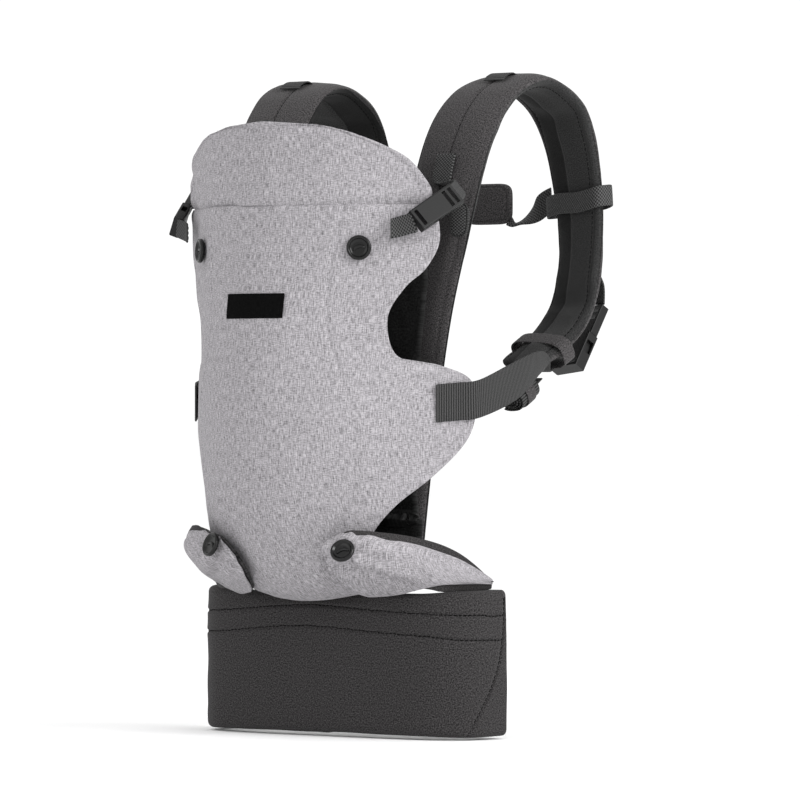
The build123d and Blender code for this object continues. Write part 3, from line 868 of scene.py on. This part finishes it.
def strap_surface(side, columns, plain=False):
    """Points on one face of the padded strap: side 1 is the outer face, -1 the lining."""
    places, across, out, half, run, share = strap_frame()
    v = np.sin(np.linspace(-math.pi / 2, math.pi / 2, columns))
    dome = (1 - np.abs(v) ** 2.8) ** (1 / 2.2)
    height = (STRAP_HALF - 0.4) * dome[None, :] * (np.sqrt(1 - (1 - share[:, None]) ** 2) * 0.92 + 0.08)
    points = places[:, None] + across[:, None] * half[:, None, None] * v[None, :, None]
    points = points + out[:, None] * (side * height)[..., None]
    if plain:
        return points
    width = half[:, None] * v[None, :]
    relief = 0.45 * ripple(points, 52, 51 if side > 0 else 52) + 0.16 * ripple(points, 19, 53)
    if side > 0:
        relief -= 1.7 * ridge(width, 1.7)
        relief += 0.4 * ridge(width, 8)
    if side < 0:
        relief += 1.8 / (1 + np.exp(-(width + 4) / 0.9)) - 1.4 - 0.8 * ridge(width + 4, 1.6)
    rim = half[:, None] - np.abs(width)
    relief -= 0.9 * ridge(rim - 6.5, 1.4) * (1 if side < 0 else 0.4)
    bend = np.clip((run - 395) / 40, 0, 1) * np.clip((560 - run) / 60, 0, 1)
    cross_fold = np.sin(run / 8.2 + 0.7 * np.sin(run / 23))
    relief += (0.65 if side < 0 else 0.25) * (bend * cross_fold)[:, None] * (1 - np.abs(v) ** 3)
    relief = relief * np.clip((run[-1] - run) / 30, 0, 1)[:, None] * np.clip(dome * 3, 0, 1)[None, :]
    return points + out[:, None] * (side * relief)[..., None]


def strap_half(name, side, offsets, flip):
    """One face of the strap with its flat back, which meets the other face's back inside the strap."""
    places, across, out, half, run, _ = strap_frame()
    v = np.sin(np.linspace(-math.pi / 2, math.pi / 2, STRAP_COLUMNS))
    back = places[:, None] + across[:, None] * half[:, None, None] * (v * 0.985)[None, :, None]
    back = back + out[:, None] * (-side * 0.05)
    face = strap_surface(side, STRAP_COLUMNS) + offsets
    points, faces = tube_mesh(np.concatenate([face, back[:, ::-1]], axis=1) * flip)
    width = np.concatenate([v, v[::-1]])[None, :] * half[:, None]
    flow = np.stack([width, np.broadcast_to(run[:, None], width.shape), np.zeros_like(width)], axis=-1)
    flow = flow.reshape(-1, 3)
    flow = np.vstack([flow, flow[:1], flow[-1:]])
    material = looks["strap"] if side > 0 else looks["inside"]
    piece = add_mesh(name, points, faces, flow, material)
    return piece


def strap_offsets():
    """The cloth's filling out of the strap, for its outer face and for its lining."""
    coarse = 21
    outer = strap_surface(1, coarse, plain=True)[::3]
    inner = strap_surface(-1, coarse, plain=True)[::3]
    rings = np.concatenate([outer, inner[:, -2:0:-1]], axis=1)
    moved = settled(rings, 2.5, 2.0)
    rows = len(strap_frame()[0])
    i = np.linspace(0, moved.shape[0] - 1.0001, rows)
    j = np.linspace(0, coarse - 1.0001, STRAP_COLUMNS)
    ii, jj = np.meshgrid(i, j, indexing="ij")
    fade = np.clip(np.linspace(rows / 16, 0, rows), 0, 1)[:, None, None]
    outer_moves = on_grid(moved[:, :coarse], ii, jj)
    back_order = np.concatenate([moved[:, :1], moved[:, :coarse - 2:-1]], axis=1)
    return outer_moves * fade, on_grid(back_order, ii, jj) * fade


def build_straps():
    outer_moves, inner_moves = strap_offsets()
    stitched = slice(STRAP_STEPS, -10)
    out = strap_frame()[2][stitched]
    face = strap_surface(1, STRAP_COLUMNS) + outer_moves
    inner_face = strap_surface(-1, STRAP_COLUMNS) + inner_moves
    parts = thread_parts(face[stitched, STRAP_COLUMNS // 2] + out * 0.1, out, 3.0, 1.2, 0.34)
    for column in (13, STRAP_COLUMNS - 14):
        parts += thread_parts(inner_face[stitched, column] - out * 0.1, -out, 3.0, 1.2, 0.32)
    for word, flip in SIDES.items():
        cover = strap_half("shoulder_strap_outer_" + word, 1, outer_moves, flip)
        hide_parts("shoulder_strap_cover_" + word, "shoulder_strap_foam_" + word)
        inside = strap_half("shoulder_strap_inner_" + word, -1, inner_moves, flip)
        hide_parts("shoulder_strap_lining_" + word)
        turned = [(p * flip, f) for p, f in parts]
        joined("shoulder_strap_stitching_" + word, turned, looks["thread"])


def build_top_keepers():
    grid = ribbon_grid([
        [112, 97, 557.4, 20, 1, 0, 0],
        [112, 100.5, 560.3, 20, 1, 0, 0],
        [112, 106, 562.6, 20, 1, 0, 0],
        [112, 111, 563.2, 20, 1, 0, 0],
        [112, 115.5, 562.0, 20, 1, 0, 0],
    ], 6)
    for word in SIDES:
        piece = webbing("strap_top_keeper_" + word, turned_to(word, grid), 1.4)
    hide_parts("strap_top_keepers")


# ---- seat flaps ----
FLAP_LOW = [(72, -17, 119), (90, -7.5, 121), (108, -2.5, 125.5), (124, 6.5, 129.5), (132, 22, 130),
            (145, 51, 130)]
FLAP_MIDDLE = [(83, -64, 148), (107, -45, 150), (122, -12, 149), (134, 19, 141), (146, 50, 132)]
FLAP_HIGH = [(84, -67, 174), (106, -46, 169.5), (121, -12, 162), (134, 20, 151), (145, 51, 134)]
FLAP_BUTTON_SHIFT = {"right": (11.0, 3.0, -2.0), "left": (-13.0, -5.0, 2.0)}
FLAP_ENDS = {
    "right": [(62, -31, 120), (62, -68, 148), (60, -75, 169)],
    "left": [(34, -46, 123), (30, -73, 146), (44, -80, 173)],
}
FLAP_V = np.linspace(0, 1, 40)[:, None]
FLAP_U = np.linspace(0, 1, 110)[None, :]


def flap_grid(word):
    """A flap's outer face: bottom to top and front to back, with a rounded front end."""
    low_end, middle_end, high_end = FLAP_ENDS[word]
    u, v = FLAP_U, FLAP_V
    round_end = 0.10 * (1 - np.sqrt(np.clip(1 - np.abs(2 * v - 1) ** 3, 0, 1)))
    share = round_end + (1 - round_end) * u
    parts = []
    for row in ([low_end] + FLAP_LOW, [middle_end] + FLAP_MIDDLE, [high_end] + FLAP_HIGH):
        line = blend_rows([at(*p) for p in row], 16)
        run = arc_lengths(line, 0)
        parts.append(np.stack([np.interp(share * run[-1], run, line[:, k]) for k in range(3)], axis=-1))
    a = (2 * (v - 0.5) * (v - 1))[..., None]
    b = (4 * v * (1 - v))[..., None]
    c = (2 * v * (v - 0.5))[..., None]
    return parts[0] * a + parts[1] * b + parts[2] * c


def flap_front(word):
    """The flap's face with its hem, the gathers that run from the button and the soft folds."""
    base = flap_grid(word)
    rows, columns = base.shape[:2]
    u, v = FLAP_U, FLAP_V
    button = base[int(0.775 * rows), int(0.1 * columns)]
    away = base - button
    far = np.linalg.norm(away, axis=-1)
    turn = np.arctan2(away[..., 2], away[..., 0] + away[..., 1])
    gathers = np.sin(turn * 9 + 0.6) * np.exp(-((far - 24) / 15) ** 2)
    relief = 0.7 * ripple(base, 34, 61) + 1.0 * gathers
    relief = relief - 1.7 * ridge(v - 0.62 + 1.3 * u, 0.07) * (u < 0.42)
    relief = relief + 1.3 * ridge(v - 0.78 + 1.3 * u, 0.09) * (u < 0.5)
    relief = relief + 0.8 * np.sin(u * 24 + v * 4) * np.clip(u - 0.45, 0, 1)
    relief = relief * np.clip(v / 0.1, 0, 1)
    relief = relief - 0.7 * ridge(v - 0.9, 0.025) - 0.7 * ridge(u - 0.035, 0.01) * (v > 0.1)
    return base + grid_normals(base) * np.clip(relief, -1.6, 2.2)[..., None]


def build_flaps():
    u, v = FLAP_U, FLAP_V
    for word in SIDES:
        body = "seat_flap_" + word
        front = flap_front(word)
        grid = turned_to(word, front)
        cover = cloth_sheet("seat_flap_cloth_" + word, grid, 1.4, looks["melange"], body)
        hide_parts(body)
        base = flap_grid(word)
        middle = np.sin(np.pi * u) ** 0.7
        tucked = np.clip((0.4 - v) * 2.5, 0, 1) * np.clip((u - 0.38) * 6, 0, 1)
        behind = base - grid_normals(base) * (2.4 + 2.2 * tucked)[..., None]
        behind = behind + Z * (np.clip((v - 0.5) * 2, 0, 1) * 7.5 * middle)[..., None]
        behind = behind - Z * (7.5 * tucked)[..., None]
        lining = cloth_sheet("seat_flap_lining_" + word, turned_to(word, behind), 3.0, looks["charcoal"],
                             body)


# ---- buttons ----
BUTTON_PROFILE = [(0, 2.3), (4.5, 2.2), (6.6, 2.4), (7.5, 3.1), (8.1, 4.1), (8.9, 4.6), (9.7, 4.4),
                  (10.3, 3.6), (10.5, 2.4), (10.2, 1.2), (9.3, 0.4), (7.6, 0.0), (3.0, -0.1), (2.6, -1.2),
                  (0, -1.2)]


def button_parts(place, out, bar_dir):
    """A dished button with a raised rim, a curved bar and its sewn stalk."""
    out = unit(out)
    side = unit(bar_dir - out * np.dot(bar_dir, out))
    other = np.cross(out, side)
    angles = np.linspace(0, 2 * math.pi, 56, endpoint=False)
    turns = [side * math.cos(a) + other * math.sin(a) for a in angles]
    rings = [[place + turn * max(r, 0.02) + out * h for turn in turns] for r, h in BUTTON_PROFILE]
    parts = [tube_mesh(np.array(rings))]
    bend = np.linspace(-1, 1, 15)
    middle = [place + side * 5.2 * t + other * (1.1 - 2.2 * t * t) + out * 2.6 for t in bend]
    rings = []
    for t, m in zip(bend, middle):
        size = 0.15 + 0.85 * math.sqrt(max(0, 1 - t ** 6))
        rings.append([m + (other * 1.5 * math.cos(a) + out * 0.9 * math.sin(a)) * size
                      for a in np.linspace(0, 2 * math.pi, 14, endpoint=False)])
    parts.append(tube_mesh(np.array(rings)))
    return parts


def build_buttons():
    grid = arched(PANEL_ROWS, 8, 121)
    spot = np.unravel_index(np.argmin((grid[..., 0] - 84) ** 2 + (grid[..., 2] - 413) ** 2), grid.shape[:2])
    out = grid_normals(grid)[spot]
    place = grid[spot] + out * 1.3
    right = button_parts(place, out, np.array([1, 0.35, 0.25]))
    left = [(mirrored(p), f) for p, f in right]
    piece = joined("sewn_buttons", right + left, looks["button"])
    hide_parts("panel_buttons")
    for word, lean in (("right", Z * 0.9), ("left", Z * 0.2 + X * 0.2)):
        flip = SIDES[word]
        grid = flap_front(word)
        low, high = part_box("flap_button_" + word)
        centre = (np.array(low) + np.array(high)) / 2 / MM * flip + FLAP_BUTTON_SHIFT[word]
        spot = np.unravel_index(np.argmin(np.linalg.norm(grid - centre, axis=-1)), grid.shape[:2])
        out = unit(grid_normals(grid)[spot] + lean)
        parts = button_parts(grid[spot] + out * 3.2, out, np.array([0.7, 0.6, 0.1]))
        parts = [(points * flip, faces) for points, faces in parts]
        piece = joined("flap_button_lathed_" + word, parts, looks["button"],
                       "seat_flap_" + word)
        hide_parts("flap_button_" + word)


# ---- webbing, keepers and spare webbing ----
def both_ribbons(name, rows, steps, node, bends=None, look="net"):
    """A ribbon on each side; a given bends leaves the ribbon on no body with its placement baked in, and the
    joint's body and the two places in bends are not used.
    """
    grid = ribbon_grid(rows, steps)
    for word, flip in SIDES.items():
        points = turned_to(word, grid)
        piece = webbing(name + "_" + word, points, WEBBING, body=None if bends else "carrier", look=look)
        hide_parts(node + "_" + word)
        if bends:
            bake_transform(piece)


STRAP_END_ACROSS = (math.cos(math.radians(-16)), math.sin(math.radians(-16)))
WING_ROUTE = [
    [131.4, -7.4, 282.0, 30, 0, 0, 1],
    [142.2, 6.8, 283.5, 30, 0, 0, 1],
    [153.0, 23.5, 286.0, 30, 0, -0.05, 1],
    [153.0, 70.0, 300.0, 30, 0, -0.2, 1],
    [148.0, 113.0, 316.0, 24, 0.4, -0.45, 0.8],
    [138.5, 136.0, 315.0, 16, 0.7, -0.35, 0.6],
    [120.0, 153.5, 309.5, 19, 1, 0, 0],
    [114.6, 171.0, 318.5, 28, 1, 0, 0],
    [118.2, 187.0, 321.6, 30, *STRAP_END_ACROSS, 0],
]
PANEL_TAB_ROUTE = [
    [111.0, -43.2, 427.6, 15, 0, 0, 1],
    [116.0, -39.5, 429.0, 15, -0.1, -0.1, 1],
    [128.6, -35.2, 432.4, 15, -0.26, -0.2, 0.95],
]
STRAP_TAB_ROUTE = [
    [143.0, 2.8, 457.0, 15, -0.40, -0.44, 0.81],
    [130.0, 25.0, 464.0, 15, -0.7, 0, 0.7],
    [104.0, 37.0, 466.0, 15, -1, 0, 0.3],
    [100.0, 40.4, 474.0, 18, -1, 0, 0],
    [101.0, 45.0, 492.0, 18, -1, 0, 0],
]
STRAP_END_ROUTE = [
    [122.0, 217.2, 396.0, 30, *STRAP_END_ACROSS, 0],
    [122.0, 226.0, 384.0, 30, *STRAP_END_ACROSS, 0],
    [121.7, 227.0, 368.0, 30, *STRAP_END_ACROSS, 0],
]


def build_webbing():
    both_ribbons("wing_strap", WING_ROUTE, 8, "wing_webbing", look="webbing")
    both_ribbons("panel_buckle_tab", PANEL_TAB_ROUTE, 6, "panel_tab")
    both_ribbons("strap_buckle_tab", STRAP_TAB_ROUTE, 6, "strap_tab",
                 bends=("upper_buckle", (128, 26, 464), (141, 5, 458)))
    both_ribbons("strap_end_webbing", STRAP_END_ROUTE, 6, "strap_end_tab",
                 bends=("lower_buckle", (122, 217, 396), (121.7, 227, 372)))


def axes_of(x_dir, z_dir):
    """Right-handed unit axes from a facing direction and a direction near its X."""
    z = unit(z_dir)
    x = unit(np.asarray(x_dir, float) - z * np.dot(x_dir, z))
    return x, np.cross(z, x), z


def oval(half_width, half_height, power, count):
    """A rounded outline round the origin, squarer with a higher power."""
    a = np.linspace(0, 2 * math.pi, count, endpoint=False)
    c, s = np.cos(a), np.sin(a)
    return np.stack([half_width * np.sign(c) * np.abs(c) ** (2 / power),
                     half_height * np.sign(s) * np.abs(s) ** (2 / power)], axis=-1)


def closed_band(name, origin, axes, outline, width, thickness, material, body="carrier", lift=0.0):
    """A loop of webbing: the outline lies in the second and third axes, its width along the first."""
    first, second, third = axes
    lifts = np.broadcast_to(lift, len(outline))
    tangent = unit(np.roll(outline, -1, axis=0) - np.roll(outline, 1, axis=0))
    out = np.stack([tangent[:, 1], -tangent[:, 0]], axis=-1)
    section = oval(width / 2, thickness / 2, 6, 16)
    run = np.concatenate([[0], np.cumsum(np.linalg.norm(np.diff(outline, axis=0), axis=-1))])
    points = []
    flows = []
    for k in range(len(outline)):
        for w, t in section:
            spot = outline[k] + out[k] * t
            points.append(origin + first * (w + lifts[k]) + second * spot[0] + third * spot[1])
            flows.append((w, run[k], 0))
    faces = ring_faces(len(outline), len(section), closed=True)
    return add_mesh(name, points, faces, flows, material, body)


CUSHION_POINTS = 96


def cushion(name, origin, axes, half_width, half_height, thickness, power, groove, material,
            body="carrier"):
    """A small stuffed pad with a rounded outline and a sewn line inside its edge."""
    first, second, third = axes
    edge = oval(half_width, half_height, power, CUSHION_POINTS)
    shares = np.concatenate([np.linspace(0.02, 0.9, 26), [0.93, 0.96, 0.985, 1.0]])
    rings = []
    flows = []
    for face in (1, -1):
        order = shares if face > 0 else shares[::-1]
        for r in order:
            height = thickness / 2 * (1 - r ** 5) ** 0.5 - groove * ridge(r - 0.83, 0.035) * (r < 0.98)
            spots = np.column_stack([edge * r, np.full(CUSHION_POINTS, 3.0 * face)])
            height = height + 0.35 * ripple(spots, 17, 71) * (1 - r ** 4)
            rings.append([origin + first * p[0] * r + second * p[1] * r + third * face * max(h, 0.05)
                          for p, h in zip(edge, height)])
            flows += [(p[0] * r, p[1] * r, 0) for p in edge]
    points, faces = tube_mesh(np.array(rings))
    flows += [(0, 0, 0), (0, 0, 0)]
    return add_mesh(name, points, faces, flows, material, body)


def both_bands(name, node, place, x_dir, z_dir, outline, width, thickness, look, body="carrier", lift=0.0):
    """A closed loop of webbing or cloth on each side of the carrier."""
    for word, flip in SIDES.items():
        axes = [a * flip for a in axes_of(x_dir, z_dir)]
        piece = closed_band(name + "_" + word, at(*place) * flip, axes, outline, width, thickness,
                            looks[look], body, lift)
        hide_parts(node + "_" + word)


def spiral_roll(word, flip):
    """Spare webbing rolled up flat, with an elastic band round it."""
    centre = at(113.0, 131.0, 290.0) * flip
    x, y, z = [a * flip for a in axes_of((1, 0, 0), (-0.04, 0.89, 0.45))]
    turns = np.linspace(0.35, 4.35, 210)
    angle = turns * 2 * math.pi
    radius = 0.9 + 2.2 * turns
    spiral = np.stack([np.sign(np.cos(angle)) * np.abs(np.cos(angle)) ** 0.8 * radius * 1.22,
                       np.sign(np.sin(angle)) * np.abs(np.sin(angle)) ** 0.9 * radius * 0.88], axis=-1)
    widths = np.linspace(-13.5, 13.5, 9)
    drift = 0.5 * np.sin(turns * 2.2)
    grid = np.array([[centre + x * p[0] + y * p[1] + z * (w + d) for w in widths]
                     for p, d in zip(spiral, drift)])
    piece = webbing("webbing_spiral_" + word, grid, 1.5)
    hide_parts("webbing_roll_" + word)
    outline = oval(11.1 * 1.2, 11.1 * 0.92, 2.6, 80)
    closed_band("webbing_roll_elastic_" + word, centre, (z, x, y), outline, 13.0, 1.0, looks["strap"])
    tail = [(116.0, 150.5, 303.0), (115.0, 143.0, 297.5), (114.0, 136.5, 294.6)]
    rows = [[a * flip[0], b, c, 14, 1, 0, 0] for a, b, c in tail]
    webbing("webbing_roll_tail_" + word, ribbon_grid(rows, 6), 1.4)


def folded_pack(word, flip):
    """Spare webbing folded flat on the strap, held by an elastic rim."""
    centre = at(125.0, 33.0, 436.0) * flip
    x, y, z = [a * flip for a in axes_of((1, 0.25, 0), (0, 0.1, 1))]
    for k, place in enumerate((-3.1, -1.0, 1.1, 3.0)):
        shrink = 1.0 - 0.03 * (k % 2)
        cushion("webbing_fold_%d_%s" % (k, word), centre + y * place, (x, z, y), 7.2 * shrink,
                              13.4 * shrink, 2.0, 3.4, 0.0, looks["net"])
    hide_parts("webbing_pack_" + word)
    outline = oval(7.5, 13.8, 3.4, 90)
    closed_band("webbing_pack_rim_" + word, centre - y * 2.6, (y, x, z), outline, 2.6, 1.3, looks["elastic"])


LOOP_OUT = np.cross((math.cos(math.radians(-19)), math.sin(math.radians(-19)), 0), (0, 0.1, -1))


def build_keepers():
    both_bands("strap_end_keeper_cloth", "strap_end_keeper", (114.2, 164.0, 327.0), (0.1, 0.86, 0.51),
               (0, -0.51, 0.86), oval(28.6, 12.5, 3.6, 120), 15.0, 1.4, "strap")
    lift = 6.0 * np.cos(np.linspace(0, 2 * math.pi, 140, endpoint=False))
    both_bands("back_strap_loop_webbing", "back_strap_loop", (121.9, 206.5, 456.0), (0, 0.1, -1), LOOP_OUT,
               oval(39.8, 11.8, 4.2, 140), 18.0, 1.6, "net", "back_strap", lift)
    for word, flip in SIDES.items():
        spiral_roll(word, flip)
        folded_pack(word, flip)


def build_back_strap():
    piece = webbing("back_strap_twisted", ribbon_grid([
        [81.5, 220.0, 459.0, 20, 0, -0.1, 1],
        [71.0, 222.0, 454.5, 19, -0.15, -0.3, 0.95],
        [60.0, 222.0, 446.0, 17, -0.3, 0.5, 0.75],
        [49.0, 221.0, 440.5, 12, -0.3, 0.85, 0.35],
        [41.0, 220.0, 438.0, 8, -0.2, 0.9, 0.3],
        [37.0, 219.0, 441.0, 9, 0, 0.8, 0.6],
    ], 8), WEBBING, body="back_strap", look="net")
    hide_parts("back_webbing_right")
    pad = cushion("back_strap_cushion", at(14.0, 219.0, 456.5), (X, Z, -Y), 26.0, 18.0, 9.0, 5.0, 1.3,
                  looks["strap"], "back_strap")
    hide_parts("back_strap_pad")
    left = webbing("back_strap_webbing_left", ribbon_grid([
        [-80.5, 221.0, 452.0, 20, 0, 0, 1],
        [-70.0, 220.5, 451.6, 20, 0, 0.1, 1],
        [-60.0, 219.0, 452.0, 20, 0, 0, 1],
    ], 8), WEBBING, body=None)
    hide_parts("back_webbing_left")
    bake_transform(left)
    cushion("back_strap_stay", at(-11.5, 219.0, 452.0), (X, Z, -Y), 3.2, 10.0, 4.0, 4.0, 0.0,
            looks["webbing"], "back_strap")


def build_belt():
    path = [(136.0, 73.0), (126.0, 90.0), (107.0, 112.0), (78.0, 129.0), (44.0, 135.0)]
    grid = ribbon_grid([[x, depth, 62.0, 38, 0, 0, 1] for x, depth in path], 12, 9)
    right = webbing("belt_strap_right", grid, 2.0)
    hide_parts("belt_webbing_right")
    left = webbing("belt_strap_left", turned_to("left", grid), 2.0, body=None)
    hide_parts("belt_webbing_left")
    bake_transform(left)


def sewn_box(grid, row_low, row_high, column_low, column_high):
    """Stitches round a box and across it both ways, on the outer side of a grid of cloth."""
    out = grid_normals(grid)
    corners = [(row_low, column_low), (row_high, column_low), (row_high, column_high), (row_low, column_high)]
    t = np.linspace(0, 1, 14)
    runs = [(corners[k], corners[(k + 1) % 4]) for k in range(4)]
    runs += [(corners[0], corners[2]), (corners[1], corners[3])]
    parts = []
    for (r0, c0), (r1, c1) in runs:
        rows, columns = r0 + (r1 - r0) * t, c0 + (c1 - c0) * t
        normals = unit(on_grid(out, rows, columns))
        line = on_grid(grid, rows, columns) + normals * (WEBBING / 2 + 0.15)
        parts += thread_parts(line, normals, 2.6, 0.8, 0.3)
    return parts


def build_sewn_boxes():
    parts = sewn_box(ribbon_grid(WING_ROUTE, 8), 0.8, 9.5, 0.5, 5.5)
    parts += sewn_box(ribbon_grid(PANEL_TAB_ROUTE, 6), 0.6, 5.0, 0.8, 5.2)
    parts += sewn_box(ribbon_grid(STRAP_TAB_ROUTE, 6), 18.5, 23.2, 0.8, 5.2)
    parts += [(mirrored(p), f) for p, f in parts]
    joined("webbing_box_stitching", parts, looks["thread"])


# ---- camera, light and floor ----
VIEW_TURN = math.radians(38)
VIEW_DISTANCE = 5
VIEW_TARGET = (53.6, 41.9, 284.75)
SENSOR_WIDTH = 36
LENS = 264.7
WORLD_STRENGTH = 1.06
KEY_POWER = 75
FILL_POWER = 14
FLOOR_HALF = 90.0


def area_light(name, place, target, size, energy):
    light = bpy.data.lights.new(name, "AREA")
    light.size = size
    light.energy = energy
    lamp = bpy.data.objects.new(name, light)
    lamp.location = place
    lamp.rotation_euler = (Vector(target) - Vector(place)).to_track_quat("-Z", "Y").to_euler()
    bpy.context.scene.collection.objects.link(lamp)


def build_studio():
    scene = bpy.context.scene
    scene.view_settings.view_transform = "Standard"
    target = Vector(at(*VIEW_TARGET) * MM)
    away = Vector((math.sin(VIEW_TURN), -math.cos(VIEW_TURN), 0))
    camera = bpy.data.cameras.new("camera")
    camera.sensor_width = SENSOR_WIDTH
    camera.lens = LENS
    view = bpy.data.objects.new("camera", camera)
    view.location = target + away * VIEW_DISTANCE
    view.rotation_euler = (-away).to_track_quat("-Z", "Y").to_euler()
    scene.collection.objects.link(view)
    scene.camera = view

    world = bpy.data.worlds.new("studio")
    world.use_nodes = True
    background = world.node_tree.nodes["Background"]
    background.inputs["Color"].default_value = (1, 1, 1, 1)
    background.inputs["Strength"].default_value = WORLD_STRENGTH
    scene.world = world
    side = Vector((-away.y, away.x, 0))
    area_light("key", target + away * 1.7 + side * 2.2 + Vector((0, 0, 1.3)), target, 1.4, KEY_POWER)
    area_light("fill", target + away * 1.8 - side * 2.0 + Vector((0, 0, 1.0)), target, 2.0, FILL_POWER)

    floor_mesh = bpy.data.meshes.new("floor")
    corners = [(x * FLOOR_HALF, y * FLOOR_HALF, 0) for x, y in ((-1, -1), (1, -1), (1, 1), (-1, 1))]
    floor_mesh.from_pydata(corners, [], [(0, 1, 2, 3)])
    material, _, _, shader = node_material("pale_floor")
    shader.inputs["Base Color"].default_value = (0.95, 0.95, 0.95, 1)
    shader.inputs["Roughness"].default_value = 0.9
    floor_mesh.materials.append(material)
    floor = bpy.data.objects.new("floor", floor_mesh)
    floor.location.z = -0.001
    scene.collection.objects.link(floor)


def paint_cad_nodes():
    """Materials of the hard pieces that are shown as the frame has them."""
    slots = {part["node"]: part["material_slot"] for part in frame["record"]["subparts"]}
    chosen = {"buckle_plastic": "buckle", "button_plastic": "button", "webbing": "webbing",
              "foam": "lining", "melange_cloth": "melange", "dark_lining": "lining",
              "charcoal_cloth": "charcoal", "label": "label"}
    for name, piece in frame["nodes"].items():
        piece.data.materials.clear()
        piece.data.materials.append(looks[chosen[slots[name]]])


build_studio()
build_waistband()
panel = build_panel()
build_head_support()
build_label(panel)
build_bib()
build_straps()
build_top_keepers()
build_flaps()
build_buttons()
build_webbing()
build_keepers()
build_back_strap()
build_belt()
build_sewn_boxes()
paint_cad_nodes()
